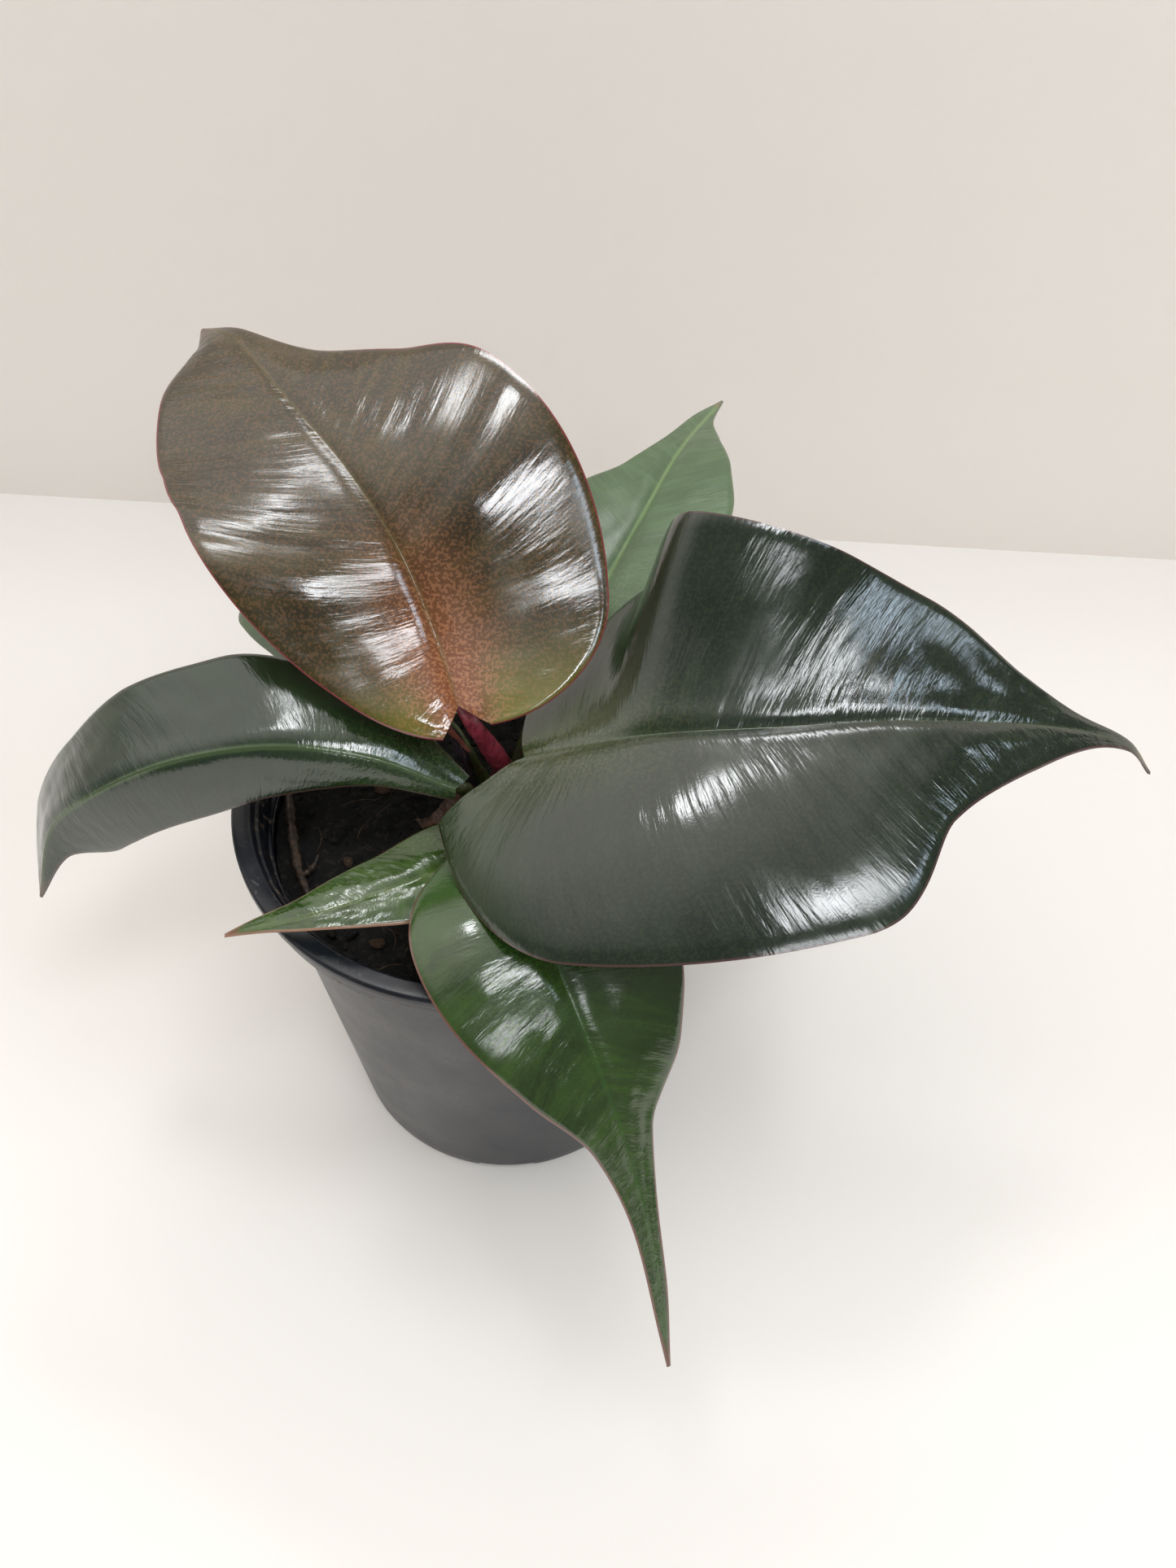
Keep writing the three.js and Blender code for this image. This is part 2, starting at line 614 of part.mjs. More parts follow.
add(aboveSoil, "old_sheath", makeOldSheath(), dryFibre);

const twig = curveThrough([[-53.5, 5, 8], [-51, -8, 5], [-48, -19, 4], [-43.5, -29, 3.6]]);
add(aboveSoil, "twig", taperedTube(twig, [1.1, 1.3, 1.2, 0.7], 7, 8), dryWood);
const sprig = curveThrough([[-45, -22.4, 4.8], [-43.6, -20.4, 5.6], [-42.6, -17.6, 6.4]]);
add(aboveSoil, "twig_sprig", taperedTube(sprig, [0.5, 0.7, 0.4], 6, 4), dryWood);

[[-30, 8, 5, 3, 20], [-36, -16, 4, 2.4, 100], [-26, -40, 5, 2.6, 160], [-8, 42, 6, 3, 60],
  [38, 22, 5, 3, 130]].forEach(([x, y, length, width, turn], i) => {
  add(aboveSoil, `bark_chip_${i + 1}`, makeLump(x, y, length, width, turn), dryWood);
});

export default pottedPlant;
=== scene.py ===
# %% [markdown]
# # A young philodendron in a black nursery pot
#
# The plant has a short crown in peat. Seven glossy leaves stand on it, each on a stalk of its
# own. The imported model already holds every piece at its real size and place, as plain faceted
# solids. This lesson builds the fine surfaces around it: smooth blades with midribs and veins,
# a moulded pot with its ridges and drain holes, crumbly peat, and a finish for each of them.

import math
import random

import bpy
import numpy as np
from mathutils import Matrix, Vector, noise


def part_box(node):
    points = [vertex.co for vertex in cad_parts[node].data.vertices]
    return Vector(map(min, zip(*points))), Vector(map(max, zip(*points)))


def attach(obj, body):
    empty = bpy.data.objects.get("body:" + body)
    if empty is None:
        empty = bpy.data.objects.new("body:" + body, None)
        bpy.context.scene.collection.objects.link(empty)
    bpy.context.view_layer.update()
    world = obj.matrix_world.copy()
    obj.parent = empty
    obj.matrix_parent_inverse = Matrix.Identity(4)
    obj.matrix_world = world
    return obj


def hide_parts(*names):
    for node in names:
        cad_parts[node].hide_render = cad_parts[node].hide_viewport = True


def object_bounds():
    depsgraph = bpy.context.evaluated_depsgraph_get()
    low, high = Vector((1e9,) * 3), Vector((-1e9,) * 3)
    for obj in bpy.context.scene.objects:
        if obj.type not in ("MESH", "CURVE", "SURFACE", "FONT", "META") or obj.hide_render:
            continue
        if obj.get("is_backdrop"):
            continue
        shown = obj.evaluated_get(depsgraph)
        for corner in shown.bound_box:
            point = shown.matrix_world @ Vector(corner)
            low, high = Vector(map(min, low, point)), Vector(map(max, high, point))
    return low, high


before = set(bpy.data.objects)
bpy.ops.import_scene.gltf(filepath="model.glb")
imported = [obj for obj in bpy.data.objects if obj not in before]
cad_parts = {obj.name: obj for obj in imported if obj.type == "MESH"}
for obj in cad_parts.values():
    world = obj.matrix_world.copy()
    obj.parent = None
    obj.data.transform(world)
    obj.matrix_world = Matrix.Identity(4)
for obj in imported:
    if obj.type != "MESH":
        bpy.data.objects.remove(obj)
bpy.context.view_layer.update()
MM = 0.001

# %% [markdown]
# ## Sizes that every piece shares
#
# The rim and the soil set where things stand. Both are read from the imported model, so the
# pieces made here follow it. Leaves are measured in millimetres from the top of the rim, and
# what stands or lies in the pot is measured from the soil's mean level.

# %% Levels and radii, in millimetres
RIM_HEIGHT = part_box("pot")[1].z / MM
RIM_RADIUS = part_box("pot")[1].x / MM
HEADSPACE = 15.0
SOIL_LEVEL = RIM_HEIGHT - HEADSPACE
STEM_X, STEM_Y = 2.0, 3.0
STEM_RADIUS = 4.3
STEM_HEIGHT = 9.0
print("rim", round(RIM_HEIGHT, 1), "high,", round(RIM_RADIUS, 1), "radius, soil at", SOIL_LEVEL)

# %% [markdown]
# ## The camera
#
# It looks down on the plant from the front, steeply enough to see into the pot. A wide lens
# held close makes the near leaves large and lets the pot taper away below them.

# %% Camera
CAMERA_PLACE = (0.025, -0.200, 0.366)
CAMERA_PITCH = math.radians(39.7)
SENSOR_WIDTH, LENS = 36.0, 28.1
bpy.ops.object.camera_add(location=CAMERA_PLACE, rotation=(CAMERA_PITCH, 0, 0))
camera = bpy.context.object
camera.data.sensor_width = SENSOR_WIDTH
camera.data.lens = LENS
camera.data.clip_start = 0.01
bpy.context.scene.camera = camera
print("camera at", CAMERA_PLACE, "with a lens of", LENS, "mm")

# %% [markdown]
# ## Small helpers for nodes
#
# A finish is a tree of shader nodes. Adding a node and joining its sockets takes several lines
# each time, so a few helpers keep the recipes short. Colours are written as a painter would
# read them off a screen and turned into the linear values that the shader wants.

# %% Node helpers
def colour(code):
    """Linear colour, with alpha, of a six-figure screen colour."""
    parts = [int(code[i:i + 2], 16) / 255 for i in (0, 2, 4)]
    linear = [p / 12.92 if p <= 0.04045 else ((p + 0.055) / 1.055) ** 2.4 for p in parts]
    return (*linear, 1.0)


def put(tree, kind, inputs=None, **settings):
    """Adds a node, sets it up, and gives each input its value or its link."""
    node = tree.nodes.new("ShaderNode" + kind)
    for name, value in settings.items():
        setattr(node, name, value)
    for name, value in (inputs or {}).items():
        if isinstance(value, bpy.types.NodeSocket):
            tree.links.new(value, node.inputs[name])
        else:
            node.inputs[name].default_value = value
    return node


def use(tree, group, **inputs):
    """Places a node group, sets its inputs by name and returns its outputs."""
    node = tree.nodes.new("ShaderNodeGroup")
    node.node_tree = group
    for name, value in inputs.items():
        socket = node.inputs[name.replace("_", " ").capitalize()]
        if isinstance(value, bpy.types.NodeSocket):
            tree.links.new(value, socket)
        else:
            socket.default_value = value
    return node.outputs


def maths(tree, operation, a, b):
    """One sum on two values, each of them a number or a socket."""
    return put(tree, "Math", {0: a, 1: b}, operation=operation).outputs[0]


def times(tree, a, b):
    return maths(tree, "MULTIPLY", a, b)


def plus(tree, a, b):
    return maths(tree, "ADD", a, b)


def minus(tree, a, b):
    return maths(tree, "SUBTRACT", a, b)


def fade(tree, value, low, high):
    """0 at low, 1 at high, with soft ends. Low may be the larger of the two."""
    return put(tree, "MapRange", {"Value": value, "From Min": low, "From Max": high},
               interpolation_type="SMOOTHSTEP").outputs[0]


def span(tree, value, at_zero, at_one):
    """A value between 0 and 1 stretched between two numbers."""
    return put(tree, "MapRange", {"Value": value, "To Min": at_zero, "To Max": at_one}).outputs[0]


def paint(tree, mask, below, above):
    """One colour over another where a mask is 1."""
    return put(tree, "Mix", {0: mask, 6: below, 7: above}, data_type="RGBA").outputs[2]


def new_group(name, inputs, outputs):
    """A node group with named sockets, its entry and its exit."""
    tree = bpy.data.node_groups.new(name, "ShaderNodeTree")
    for label, value in inputs.items():
        socket = tree.interface.new_socket(label, in_out="INPUT", socket_type="NodeSocketFloat")
        socket.default_value = value
    for label in outputs:
        tree.interface.new_socket(label, in_out="OUTPUT", socket_type="NodeSocketFloat")
    return tree, tree.nodes.new("NodeGroupInput"), tree.nodes.new("NodeGroupOutput")


def new_material(name):
    """A material with its shader. Returns the material, its tree and the shader node."""
    material = bpy.data.materials.new(name)
    material.use_nodes = True
    tree = material.node_tree
    return material, tree, tree.nodes["Principled BSDF"]


def feed(tree, shader, **sockets):
    """Sets or links the shader's own sockets, whose names have spaces for underscores."""
    for name, value in sockets.items():
        socket = shader.inputs[name.replace("_", " ")]
        if isinstance(value, bpy.types.NodeSocket):
            tree.links.new(value, socket)
        else:
            socket.default_value = value


def bump(tree, height, depth_mm, below=None):
    """A bump of a given depth, over another bump if there is one."""
    inputs = {"Height": height, "Strength": 1.0, "Distance": depth_mm * MM}
    if below is not None:
        inputs["Normal"] = below
    return put(tree, "Bump", inputs).outputs[0]


def drawn_lines(tree, scale, **settings):
    """Noise in the object's own space, drawn out by a scale for each direction."""
    place = put(tree, "TexCoord").outputs["Object"]
    drawn = put(tree, "Mapping", {"Vector": place, "Scale": scale}).outputs[0]
    return put(tree, "TexNoise", {"Vector": drawn, "Scale": 1.0, **settings}).outputs[0]


# %% [markdown]
# ## Shared effects
#
# Three effects turn up in many of the finishes. Streaks follow the veins of a leaf, so they
# read the blade's own UV map, where U runs across the blade and V from stalk to tip. Grain and
# mottle belong to the stuff itself, so they read the object's own coordinates in space. Each is
# a node group, built once and placed wherever it is wanted with its own sizes.

# %% Node groups
def make_streaks():
    """Fine lines along the veins of a blade, and broader patches of them."""
    tree, entry, exit_ = new_group(
        "vein_streaks", {"Across": 8.0, "Along": 200.0, "Seed": 0.0}, ["Height", "Patches"])
    uv = put(tree, "TexCoord").outputs["UV"]
    stretch = put(tree, "CombineXYZ", {
        "X": entry.outputs["Across"], "Y": entry.outputs["Along"], "Z": 1.0}).outputs[0]
    lines = put(tree, "VectorMath", {0: uv, 1: stretch}, operation="MULTIPLY").outputs[0]
    fine = put(tree, "TexNoise", {
        "Vector": lines, "W": entry.outputs["Seed"], "Scale": 1.0, "Detail": 3.0,
        "Roughness": 0.55, "Distortion": 0.4}, noise_dimensions="4D").outputs[0]
    broad = put(tree, "TexNoise", {
        "Vector": lines, "W": entry.outputs["Seed"], "Scale": 0.17, "Detail": 2.0,
        "Roughness": 0.6, "Distortion": 0.8}, noise_dimensions="4D").outputs[0]
    tree.links.new(fine, exit_.inputs["Height"])
    tree.links.new(fade(tree, broad, 0.42, 0.62), exit_.inputs["Patches"])
    return tree


def make_grain():
    """Tiny even cells, as on leaf skin or moulded plastic, and specks a few cells wide."""
    tree, entry, exit_ = new_group(
        "skin_grain", {"Cells per metre": 2500.0, "Speck share": 0.4}, ["Height", "Specks"])
    place = put(tree, "TexCoord").outputs["Object"]
    cells = put(tree, "TexNoise", {
        "Vector": place, "Scale": entry.outputs["Cells per metre"], "Detail": 2.0,
        "Roughness": 0.6})
    share = minus(tree, 1.0, entry.outputs["Speck share"])
    coarse = times(tree, entry.outputs["Cells per metre"], 0.6)
    dots = put(tree, "TexNoise", {
        "Vector": place, "Scale": coarse, "Detail": 1.0, "Roughness": 0.5})
    above = minus(tree, dots.outputs[0], times(tree, share, 0.85))
    tree.links.new(cells.outputs[0], exit_.inputs["Height"])
    tree.links.new(fade(tree, above, 0.0, 0.08), exit_.inputs["Specks"])
    return tree


def make_mottle():
    """Soft uneven patches, as in anything that grew or was handled."""
    tree, entry, exit_ = new_group(
        "mottle", {"Patches per metre": 60.0, "Contrast": 0.3, "Seed": 0.0}, ["Mask"])
    place = put(tree, "TexCoord").outputs["Object"]
    cloud = put(tree, "TexNoise", {
        "Vector": place, "W": entry.outputs["Seed"], "Scale": entry.outputs["Patches per metre"],
        "Detail": 4.0, "Roughness": 0.6, "Distortion": 0.3}, noise_dimensions="4D")
    reach = times(tree, entry.outputs["Contrast"], 0.5)
    low, high = minus(tree, 0.5, reach), plus(tree, 0.5, reach)
    tree.links.new(fade(tree, cloud.outputs[0], low, high), exit_.inputs["Mask"])
    return tree


vein_streaks = make_streaks()
skin_grain = make_grain()
mottle = make_mottle()
print("groups:", [g.name for g in bpy.data.node_groups])

# %% [markdown]
# ## Lines through a few points
#
# A midrib, a stalk or a twig is given as a few points, and a smooth line is drawn
# through them. The imported model draws the same kind of line through the same points, so a
# piece made here lies where its solid lies. Widths along a leaf are drawn through a few values
# in the same way, by a curve that never swings past them.

# %% Curves through points and values
def line_through(points, count):
    """Evenly spaced places along a smooth line through some points."""
    p = np.array(points, float)
    p = np.vstack([2 * p[0] - p[1], p, 2 * p[-1] - p[-2]])
    knots = np.concatenate([[0], np.cumsum(np.sqrt(np.linalg.norm(np.diff(p, axis=0), axis=1)))])
    dense = []
    for i in range(1, len(p) - 2):
        t = np.linspace(knots[i], knots[i + 1], 80)[:, None]

        def between(a, b, i0, i1):
            return ((knots[i1] - t) * a + (t - knots[i0]) * b) / (knots[i1] - knots[i0])

        a1 = between(p[i - 1], p[i], i - 1, i)
        a2 = between(p[i], p[i + 1], i, i + 1)
        a3 = between(p[i + 1], p[i + 2], i + 1, i + 2)
        b1 = between(a1, a2, i - 1, i + 1)
        b2 = between(a2, a3, i, i + 2)
        dense.append(between(b1, b2, i, i + 1))
    dense = np.vstack(dense)
    run = np.concatenate([[0], np.cumsum(np.linalg.norm(np.diff(dense, axis=0), axis=1))])
    even = np.linspace(0, run[-1], count)
    return np.column_stack([np.interp(even, run, dense[:, k]) for k in range(3)])


def through(stations, values, at):
    """A smooth curve through a few values that never overshoots them."""
    x, y, at = np.array(stations, float), np.array(values, float), np.asarray(at, float)
    gap, rise = np.diff(x), np.diff(y) / np.diff(x)
    slope = np.concatenate([[rise[0]], np.zeros(len(x) - 2), [rise[-1]]])
    for i in range(1, len(x) - 1):
        if rise[i - 1] * rise[i] > 0:
            before, after = 2 * gap[i] + gap[i - 1], gap[i] + 2 * gap[i - 1]
            slope[i] = (before + after) / (before / rise[i - 1] + after / rise[i])
    i = np.clip(np.searchsorted(x, at, side="left") - 1, 0, len(x) - 2)
    t = np.clip((at - x[i]) / gap[i], 0, 1)
    return ((2 * t**3 - 3 * t**2 + 1) * y[i] + (t**3 - 2 * t**2 + t) * gap[i] * slope[i]
            + (3 * t**2 - 2 * t**3) * y[i + 1] + (t**3 - t**2) * gap[i] * slope[i + 1])


def unit(vectors):
    return vectors / np.linalg.norm(vectors, axis=-1, keepdims=True)


# %% [markdown]
# ## The seven leaves
#
# Each leaf is described by the line of its midrib and, for each half, by how wide it is and
# how it tilts from the midrib to the margin. A lobe angle below zero sweeps the base of a half
# back past the stalk, which makes the heart shape. Waves ripple the margin. The foot says where
# the stalk leaves the stem: from its top, or from its side at an angle and a height. These are
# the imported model's own values.

# %% Leaf shapes, in millimetres from the top of the rim
WIDTH_STATIONS = [0, 0.12, 0.3, 0.5, 0.7, 0.86, 1]
TILT_STATIONS = [0, 0.15, 0.35, 0.65, 1]
VEIN_LEAN = 35
VEIN_BOW = 0.2
R = RIM_RADIUS

LEAVES = {
    "young_leaf": dict(
        midrib=[(-4.6, -8, 36), (-10, 6, 44), (-18, 20, 57), (-30, 36, 67), (-46, 56, 73),
                (-63, 79, 76), (-73, 88, 73)],
        roll=[-4, -6, -4],
        right=dict(widths=[9, 41, 51.5, 33, 15.5, 5.5, 0.5], rise=[14, 14, 12, 10, 10],
                   rim=[-2, -6, -12, -20, -20], lobe=-50),
        left=dict(widths=[9, 28, 48, 43, 31, 15, 0.5], rise=[12, 12, 12, 10, 10],
                  rim=[-5, -7, -10, -15, -20], lobe=-50),
        waves=2, ripple=1, phase=0,
        foot="top", stalk=[(3.6, 0.5, 3), (0.7, -2.5, 16), (-2.9, -6.3, 30)],
        stalk_radii=[2.9, 2.7, 2.4, 1.9]),
    "right_leaf": dict(
        midrib=[(10.5, -18, 29), (36, -22, 41), (66, -24, 46), (96, -22, 46), (129, -19, 40),
                (147, -17, 32), (154, -18, 24)],
        roll=[6, 9, 6],
        right=dict(widths=[26, 50, 53.5, 28.5, 12.5, 3.5, 0.5], rise=[4, 4, 4, 4, 4],
                   rim=[-22, -25, -28, -25, -20], lobe=-62),
        left=dict(widths=[22, 50, 46, 33, 14, 3.5, 0.5], rise=[-8, -3, 26, 20, 12],
                  rim=[-14, -12, 38, 18, 0], lobe=-8),
        tilt_stations=[0, 0.11, 0.21, 0.4, 1],
        waves=2, ripple=1, phase=1,
        foot=(-5, 6), stalk=[(12, -4, 3), (12, -12, 16)], stalk_radii=[2.3, 2.2, 2]),
    "left_leaf": dict(
        midrib=[(-6, -18, 18), (-24, -17, 28), (-46, -17, 32), (-70, -17, 27), (-92, -16, 14),
                (-109, -14, -3), (-118, -18, -26)],
        roll=[-10, -12, -16],
        right=dict(widths=[5, 14, 29, 28, 25, 20, 0.5], rise=[6] * 5, rim=[-5] * 5, lobe=-30),
        left=dict(widths=[3, 7, 15, 18, 17, 6, 0.5], rise=[-40, -42, -45, -45, -30],
                  rim=[-70, -75, -80, -80, -50], lobe=-30),
        waves=2, ripple=1, phase=1,
        foot=(-140, 6), stalk=[(-4.8, -6.5, 1), (-4.6, -13, 12)], stalk_radii=[2.1, 2, 1.7]),
    "small_leaf": dict(
        midrib=[(4, -20, -2), (-6, -30, 5), (-17, -38, 8), (-37, -47, 8.5), (-57.5, -48.5, 2.5)],
        roll=[0, 0, 0],
        right=dict(widths=[8, 14, 14, 11, 7, 4, 0.4], rise=[10] * 5, rim=[-10] * 5, lobe=-30),
        left=dict(widths=[7, 13, 12, 8, 4, 1.5, 0.4], rise=[-5] * 5, rim=[-20] * 5, lobe=-30),
        waves=2, ripple=0.6, phase=0,
        foot=(-100, 5), stalk=[(2, -9, -8.5), (4, -15, -6)], stalk_radii=[1.6, 1.5, 1.3]),
    "front_leaf": dict(
        midrib=[(9, -36, 11), (13, 15.5 - R, 12), (20, 1.5 - R, 5.5), (29, -R - 14.5, -11.5),
                (36, -R - 28, -31), (41, -R - 42, -51), (44, -R - 56, -71)],
        roll=[0, 0, 0],
        right=dict(widths=[17, 28, 21, 9, 4, 2.5, 0.4], rise=[6] * 5,
                   rim=[-12, -12, -12, -10, -5], lobe=-55),
        left=dict(widths=[17, 31, 25, 9, 3.5, 2, 0.4], rise=[6] * 5,
                  rim=[-12, -12, -12, -10, -5], lobe=-55),
        waves=1.5, ripple=0.8, phase=2,
        foot=(-55, 6), stalk=[(6.8, -13, 1), (7.8, -25, 7.5)], stalk_radii=[2, 1.9, 1.6]),
    "back_leaf": dict(
        midrib=[(17, 21, 23), (27, 36, 29), (38, 60, 33), (50, 90, 34), (66, 130, 25)],
        roll=[0, 0, 0],
        right=dict(widths=[12, 26, 28, 21, 10, 2.5, 0.4], rise=[12, 12, 12, 12, 10],
                   rim=[-5] * 5, lobe=-35),
        left=dict(widths=[12, 26, 26, 15, 7, 4.5, 0.4], rise=[12, 12, 12, 12, 10],
                  rim=[-5] * 5, lobe=-35),
        waves=1.5, ripple=0.8, phase=1,
        foot=(55, 6), stalk=[(9.5, 14, 2), (13.5, 18, 13)], stalk_radii=[2.2, 2, 1.8]),
    "rear_leaf": dict(
        midrib=[(-12, 14, 9), (-26, 28, 13), (-42, 45, 13.5), (-55, 64, 10), (-64, 84, 4)],
        roll=[0, 0, 0],
        right=dict(widths=[8, 18, 23, 23, 16, 7, 0.4], rise=[10] * 5, rim=[-10] * 5, lobe=-35),
        left=dict(widths=[8, 19, 25, 26, 18, 8, 0.4], rise=[10] * 5, rim=[-10] * 5, lobe=-35),
        waves=1.5, ripple=0.6, phase=0,
        foot=(135, 5), stalk=[(-5, 8.5, -3), (-9, 11.5, 5)], stalk_radii=[1.8, 1.7, 1.5]),
}
print(len(LEAVES), "leaves")

# %% [markdown]
# ## Laying a blade out
#
# A blade is a surface that hangs on its midrib. For a place along the midrib and a share of
# the way out to the margin, this function says where that spot is in space. Rows follow the
# side veins, which leave the midrib aslant and bow towards the tip. On top of the broad form
# come the details that catch the light: the channel over the midrib with a soft shoulder on
# each side, faint side veins, low swells between them, and a margin that turns down a little.

# %% Where each spot of a blade lies
def midrib_frames(leaf, rows):
    """Places along the midrib with the directions forward, across and up at each."""
    centre = line_through(leaf["midrib"], rows)
    forward = unit(np.gradient(centre, axis=0))
    up = np.zeros_like(centre)
    last = np.array([0.0, 0.0, 1.0])
    for i in range(rows):
        last = last - forward[i] * (last @ forward[i])
        last /= np.linalg.norm(last)
        up[i] = last
    roll = np.radians(through([0, 0.5, 1], leaf["roll"], np.linspace(0, 1, rows)))[:, None]
    normal = up * np.cos(roll) + np.cross(forward, up) * np.sin(roll)
    return centre, forward, np.cross(forward, normal), normal


FULL_TURN = 2 * math.pi
SIDE_VEINS = 11
CHANNEL_DEPTH, CHANNEL_REACH = 0.4, 1.6
SHOULDER_HEIGHT, SHOULDER_PLACE, SHOULDER_REACH = 0.2, 4.0, 2.4
# Each swell: height in millimetres, waves along the leaf, waves across a half, share of the seed
SWELLS = [(0.16, 2.3, 0.7, 1.0), (0.09, 4.1, -1.4, 2.3), (0.04, 7.3, 2.9, 3.1)]
MARGIN_DROP, MARGIN_START, MARGIN_SPAN = 0.5, 0.93, 0.07


def blade_detail(leaf, u, q, hand, distance, width):
    """Small rises and falls of the surface over its broad form, in millimetres."""
    channel = (-CHANNEL_DEPTH * np.exp(-(distance / CHANNEL_REACH) ** 2)
               + SHOULDER_HEIGHT * np.exp(-((distance - SHOULDER_PLACE) / SHOULDER_REACH) ** 2))
    veins = (0.04 * np.sin(FULL_TURN * (SIDE_VEINS * u + 0.35 * hand))
             + 0.03 * np.sin(FULL_TURN * (2.7 * SIDE_VEINS * u + 0.8)))
    between = np.sin(math.pi * np.clip(q, 0, 1)) ** 0.7
    seed = leaf["phase"] + 2.1 * hand
    swells = sum(height * np.sin(FULL_TURN * (along * u + across * q) + share * seed)
                 for height, along, across, share in SWELLS)
    turn_down = -MARGIN_DROP * np.clip((q - MARGIN_START) / MARGIN_SPAN, 0, 1) ** 2
    fading = np.minimum(1, width / 12)
    return fading * (channel * (1 - u) ** 0.4 + (veins + swells) * between * 1.2 + turn_down)


MIDRIB_ROWS = 400


def blade_places(leaf, u, side):
    """Places of the spots at shares u along the midrib and side from -1 (left) to 1 (right)."""
    centre, forward, across, normal = midrib_frames(leaf, MIDRIB_ROWS)
    at = u * (MIDRIB_ROWS - 1)
    low = np.clip(at.astype(int), 0, MIDRIB_ROWS - 2)
    part = (at - low)[:, None]

    def along(table):
        return table[low] * (1 - part) + table[low + 1] * part

    centre, forward, across, normal = along(centre), along(forward), along(across), along(normal)
    hand, q = np.sign(side), np.abs(side)
    tilts = leaf.get("tilt_stations", TILT_STATIONS)

    def halves(get):
        return np.where(hand < 0, get(leaf["left"]), get(leaf["right"]))

    width = halves(lambda half: through(WIDTH_STATIONS, half["widths"], u))
    rise = np.radians(halves(lambda half: through(tilts, half["rise"], u)))
    rim = np.radians(halves(lambda half: through(tilts, half["rim"], u)))
    lean = np.radians(halves(lambda half: through(
        [0, 0.12, 0.35, 1], [half["lobe"], 0.3 * (half["lobe"] + VEIN_LEAN), VEIN_LEAN, VEIN_LEAN],
        u)))
    bend = np.where(np.abs(rim - rise) < 1e-6, 1e-6, rim - rise)
    out = width * (np.sin(rise + bend * q) - np.sin(rise)) / bend
    lift = width * (np.cos(rise) - np.cos(rise + bend * q)) / bend
    wave = leaf["ripple"] * q**3 * np.minimum(1, width / 20) * np.sin(
        FULL_TURN * leaf["waves"] * u + leaf["phase"] + hand)
    level = lift + wave + blade_detail(leaf, u, q, hand, width * q, width)
    places = (centre + across * (hand * out * np.cos(lean))[:, None]
              + forward * (out * np.sin(lean) + VEIN_BOW * width * (q * q - q))[:, None]
              + normal * level[:, None])
    places[:, 2] += RIM_HEIGHT
    return places, width


# %% [markdown]
# ## Making pieces
#
# Operators act on whatever is selected, and the imported model's nodes start out selected, so
# each piece begins with nothing selected. Its finish and the body it rides on are set in one
# place, where the solid that it stands for is hidden.

# %% Piece helpers
def deselect():
    if bpy.context.object and bpy.context.object.mode != "OBJECT":
        bpy.ops.object.mode_set(mode="OBJECT")
    bpy.ops.object.select_all(action="DESELECT")


def only(piece):
    """Selects one piece and makes it active."""
    deselect()
    piece.select_set(True)
    bpy.context.view_layer.objects.active = piece
    return piece


def apply_all(piece):
    """Makes every modifier's result the piece's own shape."""
    only(piece)
    for modifier in list(piece.modifiers):
        bpy.ops.object.modifier_apply(modifier=modifier.name)


def settle(piece, *finishes, slot, smooth, nodes=()):
    """Gives a piece its finish, rides it on the body and hides the solids it replaces."""
    only(piece)
    bpy.ops.object.transform_apply(location=True, rotation=True, scale=True)
    piece.data.materials.clear()
    for finish in finishes:
        piece.data.materials.append(finish)
    bpy.ops.object.shade_smooth_by_angle(angle=math.radians(smooth))
    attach(piece, "root")
    if nodes:
        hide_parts(*nodes)
    triangles = sum(len(face.vertices) - 2 for face in piece.data.polygons)
    print(f"{piece.name}: {triangles} triangles")
    return piece


# %% [markdown]
# ## Blades
#
# A blade starts as a flat grid, which comes with a UV map. Its corners are then laid out by the
# function above. The columns crowd together at the midrib and at the margin, where the
# surface turns fastest. Solidify gives the blade its thickness, less at the margin, and the
# underside its own finish. Three numbers stay with each corner for the finish to read: how far
# it is from the midrib and from the margin, in millimetres, and its share of the way to the tip.

# %% Blades
BLADE_THICKNESS = 0.85
MARGIN_SHARE = 0.5
HALF_COLUMNS, CROWDING = 34, 0.75


def add_blade(name, leaf, rows, top, underside, slot):
    """A leaf's blade, thickened, with its finishes and what they read at each corner."""
    deselect()
    bpy.ops.mesh.primitive_grid_add(x_subdivisions=2 * HALF_COLUMNS, y_subdivisions=rows, size=2)
    blade = bpy.context.object
    blade.name = f"{name}_blade_surface"
    mesh = blade.data
    flat = np.zeros(len(mesh.vertices) * 3)
    mesh.vertices.foreach_get("co", flat)
    flat = flat.reshape(-1, 3)
    s = np.abs(flat[:, 0])
    q = s - CROWDING * np.sin(FULL_TURN * s) / FULL_TURN
    side = np.sign(flat[:, 0]) * q
    u = (flat[:, 1] + 1) / 2
    places, width = blade_places(leaf, u, side)
    mesh.vertices.foreach_set("co", (places * MM).ravel())
    corner = np.zeros(len(mesh.loops), int)
    mesh.loops.foreach_get("vertex_index", corner)
    mesh.uv_layers[0].data.foreach_set("uv", np.column_stack([side / 2 + 0.5, u])[corner].ravel())
    for label, values in {"rib_mm": width * q, "margin_mm": width * (1 - q), "along": u}.items():
        mesh.attributes.new(label, "FLOAT", "POINT").data.foreach_set("value", values)
    mesh.update()
    group = blade.vertex_groups.new(name="thickness")
    for i, share in enumerate(1 - (1 - MARGIN_SHARE) * q):
        group.add([i], float(share), "REPLACE")
    solid = blade.modifiers.new("thickness", "SOLIDIFY")
    solid.thickness = BLADE_THICKNESS * MM
    solid.offset = 0
    solid.vertex_group = "thickness"
    solid.material_offset = 1
    solid.use_rim = True
    blade.data.materials.append(top)
    blade.data.materials.append(underside)
    apply_all(blade)
    which = [face.material_index for face in blade.data.polygons]
    settle(blade, top, underside, slot=slot, nodes=[f"{name}_blade"], smooth=80)
    blade.data.polygons.foreach_set("material_index", which)


